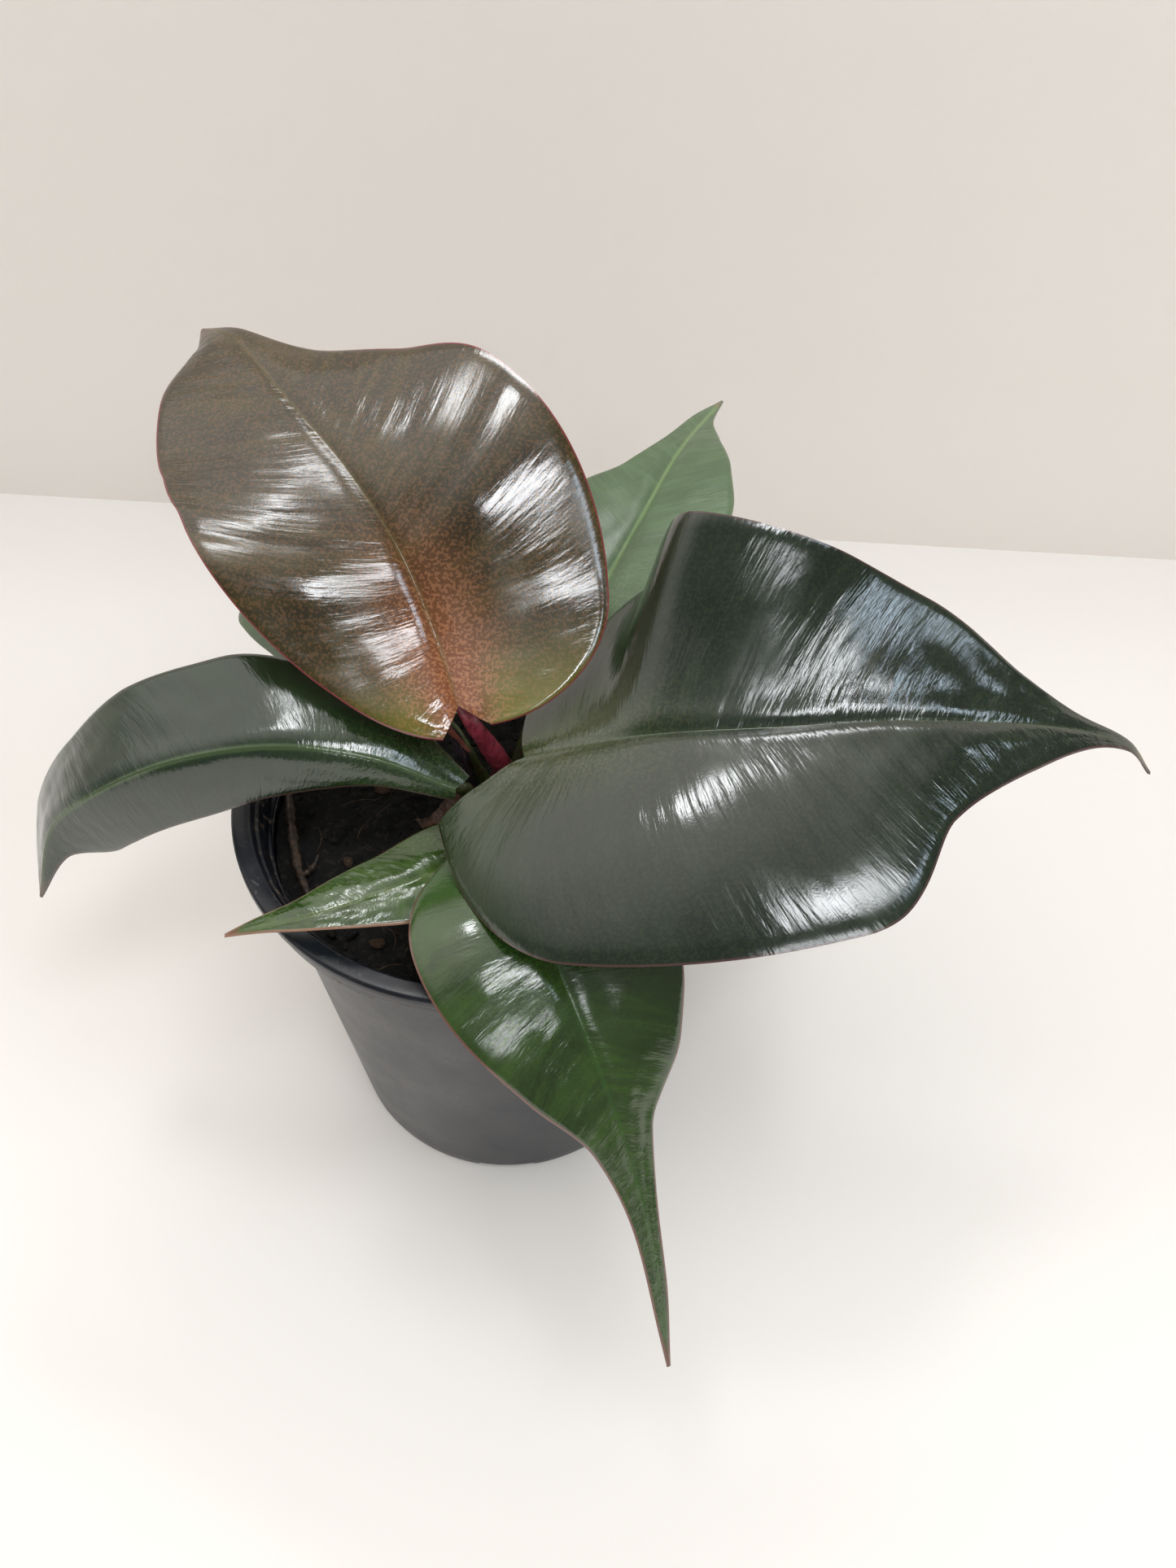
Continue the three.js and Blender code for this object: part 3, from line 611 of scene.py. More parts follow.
# %% [markdown]
# ## Stalks
#
# A stalk is a tube with a changing radius. It leaves the crown, runs up to the base of the
# blade, and goes on below it as the midrib's keel, thinning out towards the tip. Drawing a
# curve with a round bevel and a radius at each point makes such a tube, and turning the curve
# into a mesh fixes its shape.

# %% Stalks
def add_tube(name, places, radii, sides=5):
    """A closed round tube through evenly spaced places, in millimetres."""
    deselect()
    data = bpy.data.curves.new(name, "CURVE")
    data.dimensions = "3D"
    data.bevel_depth = MM
    data.bevel_resolution = sides
    data.use_fill_caps = True
    spline = data.splines.new("POLY")
    spline.points.add(len(places) - 1)
    for point, place, radius in zip(spline.points, places, radii):
        point.co = (*(place * MM), 1)
        point.radius = radius
    tube = bpy.data.objects.new(name, data)
    bpy.context.scene.collection.objects.link(tube)
    only(tube)
    bpy.ops.object.convert(target="MESH")
    tube = bpy.context.object
    bpy.ops.object.mode_set(mode="EDIT")
    bpy.ops.mesh.select_all(action="SELECT")
    bpy.ops.mesh.remove_doubles(threshold=0.00001)
    bpy.ops.mesh.normals_make_consistent(inside=False)
    bpy.ops.object.mode_set(mode="OBJECT")
    return tube


def stalk_foot(leaf):
    """Where a stalk leaves the stem, from the top or from an angle and height on its side."""
    if leaf["foot"] == "top":
        return (STEM_X, STEM_Y, STEM_HEIGHT + 0.5 - HEADSPACE)
    angle, height = leaf["foot"]
    reach = STEM_RADIUS + leaf["stalk_radii"][0] * 0.6
    return (STEM_X + reach * math.cos(math.radians(angle)),
            STEM_Y + reach * math.sin(math.radians(angle)), height - HEADSPACE)


STALK_ROWS, WOBBLE = 40, 0.03
KEEL_ROWS, KEEL_SHARE, KEEL_TIP = 60, 0.62, 0.12


def add_stalk(name, leaf, finish, slot):
    """The stalk and, in one line with it, the keel under the blade."""
    centre, _, _, normal = midrib_frames(leaf, KEEL_ROWS)
    kept = int(KEEL_ROWS * KEEL_SHARE)
    end_radius = leaf["stalk_radii"][-1] * 0.72
    keel_radii = end_radius * (1 - np.linspace(0, 1, kept) ** 1.5) + KEEL_TIP
    keel = centre[:kept] - normal[:kept] * (keel_radii[:, None] * 0.72 + 0.45)
    rise = line_through([stalk_foot(leaf), *leaf["stalk"], keel[2]], STALK_ROWS)
    stations = np.linspace(0, 1, len(leaf["stalk_radii"]) + 1)
    radii = through(stations, [*leaf["stalk_radii"], keel_radii[2]],
                    np.linspace(0, 1, STALK_ROWS))
    wobble = 1 + WOBBLE * np.sin(np.linspace(0, 19, STALK_ROWS))
    places = np.vstack([rise, keel[3:]])
    places[:, 2] += RIM_HEIGHT
    tube = add_tube(f"{name}_stalk", places, np.concatenate([radii * wobble, keel_radii[3:]]))
    return settle(tube, finish, slot=slot, nodes=[f"{name}_petiole"], smooth=60)


# %% [markdown]
# ## Leaf finishes
#
# The blades are waxy. Under the wax the colour runs from a body tone to a lighter one in
# streaks along the side veins, with paler ribs, a thin red line at the margin, and on some
# leaves a coppery or yellow-green base where the tissue is youngest. The wax itself gives
# sharp, ragged reflections: fine bumps drawn out along the veins tear their edges, and a
# rougher patch here and there softens them. The gloss is the skin's own, with a high specular
# level. A coat would lie over the bumps with a smooth surface of its own and hide them.

# %% Leaf skin
# Where each tone fades in, in millimetres from the midrib or margin, or as a share of the length
YOUNG_FROM_RIB, LOBE_FROM_RIB, RIB_CORE = (20.0, 2.0), (4.0, 14.0), 0.3
LOBE_SHARE, TIP_SHARE = (0.13, 0.03), (0.93, 0.985)
MARGIN_LINE = (0.6, 0.2)
GRAIN_DEPTH = 0.012


def blade_skin(name, *, body, light, rib, margin, base, lobe, speck, tip, across=9.0,
               along=190.0, rough=(0.11, 0.22), tear=0.07, rib_width=1.3, rib_strength=0.35,
               base_reach=0.35, seed=0.0):
    """The upper side of a blade."""
    material, tree, shader = new_material(name)
    rib_mm = put(tree, "Attribute", attribute_name="rib_mm").outputs["Fac"]
    margin_mm = put(tree, "Attribute", attribute_name="margin_mm").outputs["Fac"]
    along_share = put(tree, "Attribute", attribute_name="along").outputs["Fac"]
    fine = use(tree, vein_streaks, across=across, along=along, seed=seed)
    broad = use(tree, vein_streaks, across=across * 0.5, along=along * 0.26, seed=seed + 0.7)
    patches = use(tree, mottle, patches_per_metre=45.0, contrast=0.35, seed=seed)
    grain = use(tree, skin_grain, cells_per_metre=2200.0, speck_share=0.42)

    lighter = times(tree, fine["Patches"], 0.4)
    lighter = plus(tree, lighter, times(tree, patches["Mask"], 0.45))
    skin = paint(tree, lighter, colour(body), colour(light))
    young = times(tree, fade(tree, along_share, base_reach, 0.02),
                  fade(tree, rib_mm, *YOUNG_FROM_RIB))
    skin = paint(tree, young, skin, colour(base))
    lobes = times(tree, fade(tree, along_share, *LOBE_SHARE),
                  fade(tree, rib_mm, *LOBE_FROM_RIB))
    skin = paint(tree, times(tree, lobes, 0.8), skin, colour(lobe))
    specks = times(tree, grain["Specks"], plus(tree, times(tree, young, 0.5), 0.12))
    skin = paint(tree, specks, skin, colour(speck))
    rib_line = times(tree, fade(tree, rib_mm, rib_width, RIB_CORE), rib_strength)
    skin = paint(tree, rib_line, skin, colour(rib))
    skin = paint(tree, fade(tree, along_share, *TIP_SHARE), skin, colour(tip))
    skin = paint(tree, fade(tree, margin_mm, *MARGIN_LINE), skin, colour(margin))

    normal = bump(tree, broad["Height"], tear * 2.4)
    normal = bump(tree, fine["Height"], tear, normal)
    normal = bump(tree, grain["Height"], GRAIN_DEPTH, normal)
    feed(tree, shader, Base_Color=skin, Normal=normal, Specular_IOR_Level=1.0,
         Roughness=span(tree, patches["Mask"], *rough))
    return material


def blade_back(name, body, light, seed):
    """The underside of a blade, paler and less shiny."""
    material, tree, shader = new_material(name)
    streaks = use(tree, vein_streaks, across=7.0, along=120.0, seed=seed + 3.0)
    grain = use(tree, skin_grain, cells_per_metre=1600.0, speck_share=0.4)
    patches = use(tree, mottle, patches_per_metre=60.0, contrast=0.4, seed=seed + 1.0)
    mixed = times(tree, plus(tree, streaks["Patches"], patches["Mask"]), 0.5)
    skin = paint(tree, mixed, colour(body), colour(light))
    normal = bump(tree, streaks["Height"], 0.08)
    normal = bump(tree, grain["Height"], 0.015, normal)
    feed(tree, shader, Base_Color=skin, Normal=normal,
         Roughness=span(tree, patches["Mask"], 0.36, 0.5))
    return material


# %% Finishes of the seven leaves
bronze = blade_skin(
    "bronze_leaf", body="231d06", light="44380d", rib="6a5a2c", margin="7a3034", base="784526",
    lobe="6a6822", speck="a9744e", tip="5a4a38", tear=0.06, base_reach=0.42, seed=1.0)
deep_green = blade_skin(
    "deep_green_leaf", body="0c1a0e", light="182814", rib="3c4c2a", margin="4a3430",
    base="2c3a1c", lobe="2a3a1c", speck="4c4c30", tip="8a8a64", tear=0.095,
    rib_strength=0.25, seed=2.0)
arching_green = blade_skin(
    "arching_leaf", body="10220f", light="1d3219", rib="4c6238", margin="4a3c34",
    base="22341a", lobe="20321a", speck="3c4c2c", tip="5a4a38", tear=0.09,
    rib_strength=0.5, seed=5.0)
small_green = blade_skin(
    "small_leaf", body="20370c", light="3a5519", rib="566a30", margin="8a6a54",
    base="284416", lobe="2c4c17", speck="48632a", tip="6e3a26", along=110.0, seed=7.0)
fresh_green = blade_skin(
    "fresh_leaf", body="1b2e0a", light="344f16", rib="345820", margin="6e4a40",
    base="1a3a10", lobe="254a15", speck="385a24", tip="5c3a26", seed=9.0)
grey_green = blade_skin(
    "back_leaf", body="3a5432", light="527046", rib="7c985c", margin="5e6a4c", base="466238",
    lobe="527046", speck="627e50", tip="7a6a4c", rough=(0.3, 0.46), rib_strength=0.6, seed=11.0)
wine_back = blade_back("wine_underside", "4a2a24", "5f4430", 1.0)
olive_back = blade_back("olive_underside", "3a4426", "4d5a34", 2.0)
pale_back = blade_back("pale_underside", "55702f", "6d8648", 3.0)
leaf_skins = bronze, deep_green, arching_green, small_green, fresh_green, grey_green
print("leaf finishes:", [skin.name for skin in leaf_skins])

# %% [markdown]
# The stalks have a thin shiny skin with fine lines along them. The young leaf's stalk is
# crimson with darker flecks, and the others are olive green, redder towards the crown.

# %% Stalk skin
def stalk_skin(name, body, light, fleck, rough=0.26):
    """A thin skin with lines along it and darker or redder flecks."""
    material, tree, shader = new_material(name)
    lines = drawn_lines(tree, (1400.0, 1400.0, 160.0), Detail=3.0)
    patches = use(tree, mottle, patches_per_metre=180.0, contrast=0.3, seed=4.0)
    grain = use(tree, skin_grain, cells_per_metre=1100.0, speck_share=0.38)
    skin = paint(tree, patches["Mask"], colour(body), colour(light))
    skin = paint(tree, times(tree, grain["Specks"], 0.55), skin, colour(fleck))
    skin = paint(tree, fade(tree, lines, 0.55, 0.75), skin, colour(light))
    normal = bump(tree, lines, 0.09)
    feed(tree, shader, Base_Color=skin, Normal=normal,
         Roughness=span(tree, patches["Mask"], rough, rough + 0.14),
         Coat_Weight=0.3, Coat_Roughness=0.15)
    return material


crimson = stalk_skin("crimson_stalk", "7a2030", "a84254", "4a0e1a")
olive_stalk = stalk_skin("olive_stalk", "3c4a22", "566832", "5a2e22", 0.3)
dark_stalk = stalk_skin("dark_stalk", "2c3218", "3f4a26", "3a1c1c", 0.3)

# %% The seven leaves take shape
# Top, underside and slot of the blade, finish and slot of the stalk, and rows along the blade
LEAF_FINISH = {
    "young_leaf": (bronze, wine_back, "bronze_leaf", crimson, "crimson_stalk", 150),
    "right_leaf": (deep_green, olive_back, "dark_leaf", dark_stalk, "green_stalk", 180),
    "left_leaf": (arching_green, olive_back, "dark_leaf", dark_stalk, "green_stalk", 150),
    "small_leaf": (small_green, pale_back, "fresh_leaf", olive_stalk, "green_stalk", 110),
    "front_leaf": (fresh_green, pale_back, "fresh_leaf", olive_stalk, "green_stalk", 150),
    "back_leaf": (grey_green, pale_back, "back_leaf", olive_stalk, "green_stalk", 120),
    "rear_leaf": (grey_green, pale_back, "fresh_leaf", olive_stalk, "green_stalk", 100),
}
for leaf_name, (top, underside, leaf_slot, stalk, stalk_slot, rows) in LEAF_FINISH.items():
    add_blade(leaf_name, LEAVES[leaf_name], rows, top, underside, leaf_slot)
    add_stalk(leaf_name, LEAVES[leaf_name], stalk, stalk_slot)

# %% [markdown]
# ## The pot
#
# A nursery pot is thin moulded plastic, turned round its axis: a flat flange with a bead and a
# band under it, a wall that tapers to a chamfered heel, and a raised floor with a pad in the
# middle. So its outline is drawn by extruding one corner point by point, and spun round. The
# two ridges inside the mouth, which stiffen it, are part of that outline. Drain holes and the
# notches in the heel are cut afterwards, as the mould's pins leave them.

# %% Pot outline
BAND_HEIGHT, BEAD_HEIGHT = 5.0, 3.6
BAND_RADIUS = RIM_RADIUS - 1.4
WALL_TOP = BAND_RADIUS - 4.6
WALL = 1.3
FOOT = 50.0
FLOOR_LIFT = 3.6
PAD = 14.0
HEEL_INNER = 43.5
CHAMFER = 1.5
FLANGE_INNER = RIM_RADIUS - 4.6
band_bottom = RIM_HEIGHT - BEAD_HEIGHT - BAND_HEIGHT


def inside_radius(z):
    """Radius inside the pot at a height between the floor and the band."""
    floor = FLOOR_LIFT + WALL
    share = (z - floor) / (band_bottom - floor)
    return FOOT - WALL + (WALL_TOP - FOOT) * share


def outside_wall(z):
    """A point on the outside of the wall at a height, as (radius, height)."""
    share = (z - CHAMFER) / (band_bottom - CHAMFER)
    return (FOOT + (WALL_TOP - 0.6 - FOOT) * share, z)


def inside_ridge(z, height=0.7):
    """A low rounded ridge round the inside of the wall."""
    return [(inside_radius(z + dz) - proud, z + dz)
            for dz, proud in [(0.9, 0), (0.45, height), (-0.45, height), (-0.9, 0)]]


POT_OUTLINE = [
    (0, 0), (PAD, 0), (PAD + FLOOR_LIFT, FLOOR_LIFT), (HEEL_INNER - FLOOR_LIFT / 2, FLOOR_LIFT),
    (HEEL_INNER, 0), (FOOT - CHAMFER, 0), (FOOT, CHAMFER), outside_wall(5), outside_wall(20),
    (WALL_TOP - 0.6, band_bottom), (BAND_RADIUS, band_bottom),
    (BAND_RADIUS, RIM_HEIGHT - BEAD_HEIGHT - 0.5), (BAND_RADIUS - 0.4, RIM_HEIGHT - BEAD_HEIGHT),
    (RIM_RADIUS - 0.5, RIM_HEIGHT - BEAD_HEIGHT), (RIM_RADIUS, RIM_HEIGHT - BEAD_HEIGHT + 0.6),
    (RIM_RADIUS, RIM_HEIGHT - 0.7), (RIM_RADIUS - 0.7, RIM_HEIGHT),
    (FLANGE_INNER + 0.3, RIM_HEIGHT), (FLANGE_INNER - 0.4, RIM_HEIGHT - 0.9),
    (FLANGE_INNER - 0.8, RIM_HEIGHT - 3), (FLANGE_INNER - 1.6, RIM_HEIGHT - 3.4),
    (inside_radius(band_bottom), band_bottom + 0.6),
    *inside_ridge(RIM_HEIGHT - 10.6), *inside_ridge(RIM_HEIGHT - 13.2, 0.5),
    (FOOT - WALL, FLOOR_LIFT + WALL), (PAD + FLOOR_LIFT - 0.6, FLOOR_LIFT + WALL),
    (PAD - 0.6, WALL), (0, WALL),
]
print(len(POT_OUTLINE), "corners in the outline, wall", WALL, "mm thick")


def spin_outline(name, outline, steps):
    """A closed turned piece from an outline of (radius, height) points, in millimetres."""
    deselect()
    bpy.ops.mesh.primitive_plane_add(size=1)
    turned = bpy.context.object
    turned.name = name
    bpy.ops.object.mode_set(mode="EDIT")
    bpy.ops.mesh.select_all(action="SELECT")
    bpy.ops.mesh.merge(type="CENTER")
    radius, z = outline[0]
    bpy.ops.transform.translate(value=(radius * MM, 0, z * MM))
    for (r0, z0), (r1, z1) in zip(outline, outline[1:]):
        bpy.ops.mesh.extrude_region_move(
            TRANSFORM_OT_translate={"value": ((r1 - r0) * MM, 0, (z1 - z0) * MM)})
    bpy.ops.mesh.select_all(action="SELECT")
    bpy.ops.mesh.spin(steps=steps, angle=FULL_TURN, center=(0, 0, 0), axis=(0, 0, 1))
    bpy.ops.mesh.select_all(action="SELECT")
    bpy.ops.mesh.remove_doubles(threshold=0.000005)
    bpy.ops.mesh.normals_make_consistent(inside=False)
    bpy.ops.object.mode_set(mode="OBJECT")
    return turned


# %% [markdown]
# The spun shell gets its soft edges from a bevel. Each cutter is then taken away from it.

# %% Pot
def cut(piece, cutter):
    """Takes a cutter's shape out of a piece and throws the cutter away."""
    step = piece.modifiers.new("cut", "BOOLEAN")
    step.object = cutter
    step.operation = "DIFFERENCE"
    step.solver = "EXACT"
    apply_all(piece)
    bpy.data.objects.remove(cutter)


def on_ring(radius, turn):
    """A place on a ring round the pot's axis, at the level of the floor, in metres."""
    return (radius * math.cos(turn) * MM, radius * math.sin(turn) * MM, 0)


SPIN_STEPS = 144
SOFT_EDGE = 0.25
DRAIN_HOLES, HOLE_RADIUS = 6, 4.5
HOLE_RING = (PAD + FLOOR_LIFT + HEEL_INNER - FLOOR_LIFT / 2) / 2
NOTCHES, NOTCH_SIZE, NOTCH_RING = 4, (15, 17, 5.2), FOOT - 2.5


def add_pot(finish):
    """The turned shell, softened, with its drain holes and notches cut."""
    pot = spin_outline("nursery_pot", POT_OUTLINE, SPIN_STEPS)
    soften = pot.modifiers.new("soften", "BEVEL")
    soften.width = SOFT_EDGE * MM
    soften.segments = 2
    soften.limit_method = "ANGLE"
    soften.angle_limit = math.radians(35)
    apply_all(pot)
    for i in range(DRAIN_HOLES):
        turn = (i + 0.5) / DRAIN_HOLES * FULL_TURN
        bpy.ops.mesh.primitive_cylinder_add(
            radius=HOLE_RADIUS * MM, depth=16 * MM, vertices=32,
            location=on_ring(HOLE_RING, turn))
        cut(pot, bpy.context.object)
    for i in range(NOTCHES):
        turn = (i / NOTCHES - 0.25) * FULL_TURN
        bpy.ops.mesh.primitive_cube_add(
            size=1, scale=[side * MM for side in NOTCH_SIZE], rotation=(0, 0, turn),
            location=on_ring(NOTCH_RING, turn))
        cut(pot, bpy.context.object)
    return settle(pot, finish, slot="pot_plastic", nodes=["pot"], smooth=35)


# %% [markdown]
# The plastic is near black with a satin shine. Pale scuffs lie all over it, most of all low
# down, and peat dust gathers under the rim. Both are patterns that fade in and out by height.

# %% Pot plastic
def pot_plastic():
    """Black moulded plastic: satin, faintly pebbled, scuffed and dusted with peat."""
    material, tree, shader = new_material("black_pot_plastic")
    place = put(tree, "TexCoord").outputs["Object"]
    height = put(tree, "SeparateXYZ", {"Vector": place}).outputs["Z"]
    rubs = drawn_lines(tree, (260.0, 260.0, 900.0), Detail=4.0, Roughness=0.7, Distortion=1.2)
    patches = use(tree, mottle, patches_per_metre=38.0, contrast=0.4, seed=6.0)
    grain = use(tree, skin_grain, cells_per_metre=2600.0, speck_share=0.2)
    dirt = use(tree, skin_grain, cells_per_metre=700.0, speck_share=0.3)
    low_down = fade(tree, height, 0.055, 0.0)
    near_rim = times(tree, fade(tree, height, 0.100, 0.119), fade(tree, height, 0.1265, 0.122))
    plastic = paint(tree, patches["Mask"], colour("0a0d13"), colour("1a1e27"))
    scuffs = times(tree, fade(tree, rubs, 0.58, 0.72), plus(tree, times(tree, low_down, 0.6), 0.3))
    plastic = paint(tree, scuffs, plastic, colour("77787a"))
    dusty = times(tree, dirt["Specks"], plus(tree, times(tree, near_rim, 0.7), 0.04))
    plastic = paint(tree, dusty, plastic, colour("6a5d50"))
    rough = span(tree, patches["Mask"], 0.26, 0.38)
    rough = plus(tree, rough, times(tree, plus(tree, scuffs, dusty), 0.4))
    normal = bump(tree, grain["Height"], GRAIN_DEPTH)
    normal = bump(tree, rubs, 0.010, normal)
    feed(tree, shader, Base_Color=plastic, Roughness=rough, Normal=normal)
    return material


add_pot(pot_plastic())

# %% [markdown]
# ## Peat
#
# The soil is dark milled peat with a few fibres. Its body is a turned plug whose top is pushed
# up and down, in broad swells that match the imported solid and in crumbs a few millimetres
# across. Loose crumbs and pale root fibres lie on it. Each crumb is a copy of one of a few
# rough lumps, so hundreds of them stay light.

# %% Soil
SOIL_SWELL, CRUMB_HEIGHT = 1.3, 0.75
SOIL_RINGS, SOIL_STEPS = 64, 180


def soil_relief(x, y):
    """Broad swells of the soil above its mean level, in millimetres."""
    lumps = math.sin(x * 0.19 + 1) * math.cos(y * 0.23 - 0.6) + 0.5 * math.sin(x * 0.41 - y * 0.33)
    return SOIL_SWELL * lumps / 1.5


def soil_height(x, y):
    """Level of the soil's surface over the foot of the pot, crumbs included."""
    spot = Vector((x, y, 0.0))
    crumbs = noise.fractal(spot * 0.42, 0.9, 2.1, 4) + 0.7 * abs(noise.noise(spot * 1.1))
    edge = max(0.0, math.hypot(x, y) - 50) / 8
    return SOIL_LEVEL + soil_relief(x, y) + CRUMB_HEIGHT * crumbs - 0.5 * edge


def add_soil(finish):
    """A turned plug that fills the pot, with a crumbly top."""
    top_radius = inside_radius(SOIL_LEVEL - 2) - 0.35
    bottom = FLOOR_LIFT + WALL + 0.3
    outline = [(0, bottom), (inside_radius(bottom) - 0.4, bottom),
               (top_radius - 0.3, SOIL_LEVEL - 8)]
    for i in range(SOIL_RINGS + 1):
        outline.append((top_radius * (1 - i / SOIL_RINGS), SOIL_LEVEL))
    soil = spin_outline("peat", outline, SOIL_STEPS)
    for vertex in soil.data.vertices:
        if vertex.co.z > (SOIL_LEVEL - 1) * MM:
            vertex.co.z = soil_height(vertex.co.x / MM, vertex.co.y / MM) * MM
    return settle(soil, finish, slot="peat", nodes=["soil"], smooth=70)


# %% Peat finish
PALE_BITS = 0.22


def peat_skin(name, dark, brown, pale):
    """Matt crumbs from near black to brown, with a few pale bits."""
    material, tree, shader = new_material(name)
    patches = use(tree, mottle, patches_per_metre=260.0, contrast=0.3, seed=3.0)
    grain = use(tree, skin_grain, cells_per_metre=900.0, speck_share=0.32)
    fine = use(tree, skin_grain, cells_per_metre=3200.0, speck_share=0.4)
    skin = paint(tree, patches["Mask"], colour(dark), colour(brown))
    skin = paint(tree, times(tree, grain["Specks"], PALE_BITS), skin, colour(pale))
    normal = bump(tree, grain["Height"], 0.5)
    normal = bump(tree, fine["Height"], 0.2, normal)
    feed(tree, shader, Base_Color=skin, Normal=normal,
         Roughness=span(tree, patches["Mask"], 0.78, 0.95))
    return material


peat = peat_skin("milled_peat", "050505", "110f0d", "4a423b")
add_soil(peat)

# %% Crumbs
random.seed(11)
CRUMBS, CRUMB_SIZES = 620, [0.8, 1.1, 1.5, 2.2]
KINDS = 5  # of crumb, and of fibre


def rough_lump(seed):
    """A small rough stone-like shape, about one across."""
    deselect()
    bpy.ops.mesh.primitive_ico_sphere_add(subdivisions=2, radius=0.5)
    lump = bpy.context.object
    for vertex in lump.data.vertices:
        push = noise.noise(vertex.co * 2.3 + Vector((seed * 7.0, 0, 0)))
        vertex.co *= 1 + 0.55 * push
    corners = np.array([v.co for v in lump.data.vertices])
    faces = np.array([f.vertices for f in lump.data.polygons])
    bpy.data.objects.remove(lump)
    return corners, faces


def scatter(name, shapes, places, finish, slot, smooth=50):
    """One piece made of many turned and stretched copies of a few shapes, in millimetres."""
    corners, faces, start = [], [], 0
    for place, size, turn, pick in places:
        shape_corners, shape_faces = shapes[pick]
        c, s = math.cos(turn), math.sin(turn)
        spun = np.array([[c, -s, 0], [s, c, 0], [0, 0, 1]])
        corners.append((shape_corners * size) @ spun.T + place)
        faces.append(shape_faces + start)
        start += len(shape_corners)
    mesh = bpy.data.meshes.new(name)
    mesh.from_pydata((np.vstack(corners) * MM).tolist(), [], np.vstack(faces).tolist())
    piece = bpy.data.objects.new(name, mesh)
    bpy.context.scene.collection.objects.link(piece)
    return settle(piece, finish, slot=slot, smooth=smooth)


def random_spot(reach):
    """A random spot on the soil, no further from the middle than a reach."""
    r, turn = reach * math.sqrt(random.random()), random.uniform(0, FULL_TURN)
    return r * math.cos(turn), r * math.sin(turn)


def laid(x, y, lift, shape):
    """One copy for the scatter: its place over the soil, its size, turn and kind."""
    return (np.array([x, y, soil_height(x, y) + lift]), shape, random.uniform(0, 6.3),
            random.randrange(KINDS))


lumps = [rough_lump(seed) for seed in range(KINDS)]
crumb_places = []
for _ in range(CRUMBS):
    x, y = random_spot(55)
    size = random.choice(CRUMB_SIZES) * random.uniform(0.8, 1.3)
    shape = np.array([size * random.uniform(0.8, 1.7), size, size * random.uniform(0.5, 0.8)])
    crumb_places.append(laid(x, y, size * 0.1, shape))
scatter("peat_crumbs", lumps, crumb_places, peat, "peat")

# %% [markdown]
# Fibres are fine curved threads, so each is a thin tube of four sides bent over a short arc.

# %% Fibres
THREAD_BENDS, THREAD_WIDTH, FIBRES = (0.1, 0.5, -0.7, 1.1, -0.3), 0.03, 130


def thread(bend):
    """A thin thread about one long, bent over its length."""
    steps, sides = 7, 4
    corners = []
    for i in range(steps + 1):
        t = i / steps - 0.5
        radius = 0.5 * (1 - 1.6 * t * t) * THREAD_WIDTH
        for j in range(sides):
            a = j / sides * FULL_TURN
            corners.append((t, bend * t * t + radius * math.cos(a), radius * math.sin(a)))
    faces = [[i * sides + j, i * sides + (j + 1) % sides, (i + 1) * sides + (j + 1) % sides,
              (i + 1) * sides + j] for i in range(steps) for j in range(sides)]
    faces += [[3, 2, 1, 0], [steps * sides + j for j in range(sides)]]
    return np.array(corners), np.array(faces)


threads = [thread(bend) for bend in THREAD_BENDS]
fibre_places = []
for _ in range(FIBRES):
    x, y = random_spot(54)
    length = random.uniform(3, 9)
    fibre_places.append(laid(x, y, 0.5, np.array([length, length, 7.0])))
fibre = peat_skin("dry_fibre", "3a2c22", "5e4a3a", "8a7460")
scatter("root_fibres", threads, fibre_places, fibre, "dry_fibre")

# %% [markdown]
# ## Crown
#
# The stem is short and knuckled, ringed by the scars of old leaves. It is turned like the pot.
# Papery sheaths once wrapped the buds: a dark purple one leans out on the left, and a pinkish
# flap clings to the young leaf's stalk just under its blade. They are laid out on a grid, like
# the blades, and thickened.

# %% Stem
stem_outline = [(0, -16), (2.6, -15), (4.9, -10), (4.5, -2), (4.9, -0.6), (4.3, 0.6), (4.4, 2.6),
                (4.9, 3.4), (4.2, 4.4), (4.1, 6.2), (4.4, 7), (3.2, 8.2), (1.8, 9), (0, 9.2)]
stem = spin_outline("stem_with_scars", [(r, z + SOIL_LEVEL) for r, z in stem_outline], 40)
stem.data.transform(Matrix.Translation((STEM_X * MM, STEM_Y * MM, 0)))
rounding = stem.modifiers.new("round", "SUBSURF")
rounding.levels = rounding.render_levels = 1
apply_all(stem)
settle(stem, stalk_skin("stem_bark", "4a4a26", "6a6438", "4a2c20", 0.42), slot="stem_skin",
       nodes=["stem"], smooth=60)


# %% Sheaths
def add_sheet(name, place, columns, rows, thickness, finish, slot, node):
    """A thin sheet whose spots are given by a function of two shares from 0 to 1."""
    deselect()
    bpy.ops.mesh.primitive_grid_add(x_subdivisions=columns, y_subdivisions=rows, size=1)
    sheet = bpy.context.object
    sheet.name = name
    for vertex in sheet.data.vertices:
        vertex.co = Vector(place(vertex.co.x + 0.5, vertex.co.y + 0.5)) * MM
    solid = sheet.modifiers.new("thickness", "SOLIDIFY")
    solid.thickness = thickness * MM
    solid.offset = 0
    apply_all(sheet)
    return settle(sheet, finish, slot=slot, nodes=[node], smooth=70)


def dark_sheath_place(across, up):
    """A sheet that stands off the stem on the left and narrows to a tip."""
    turn = math.radians(174 + 20 * (1 - 2 * across) * math.sqrt(1 - 0.96 * up * up))
    r = STEM_RADIUS + 3 + 4 * up * up + 0.35 * math.sin(9 * up + 5 * across)
    return (STEM_X + r * math.cos(turn), STEM_Y + r * math.sin(turn), SOIL_LEVEL + 3 + 27 * up)


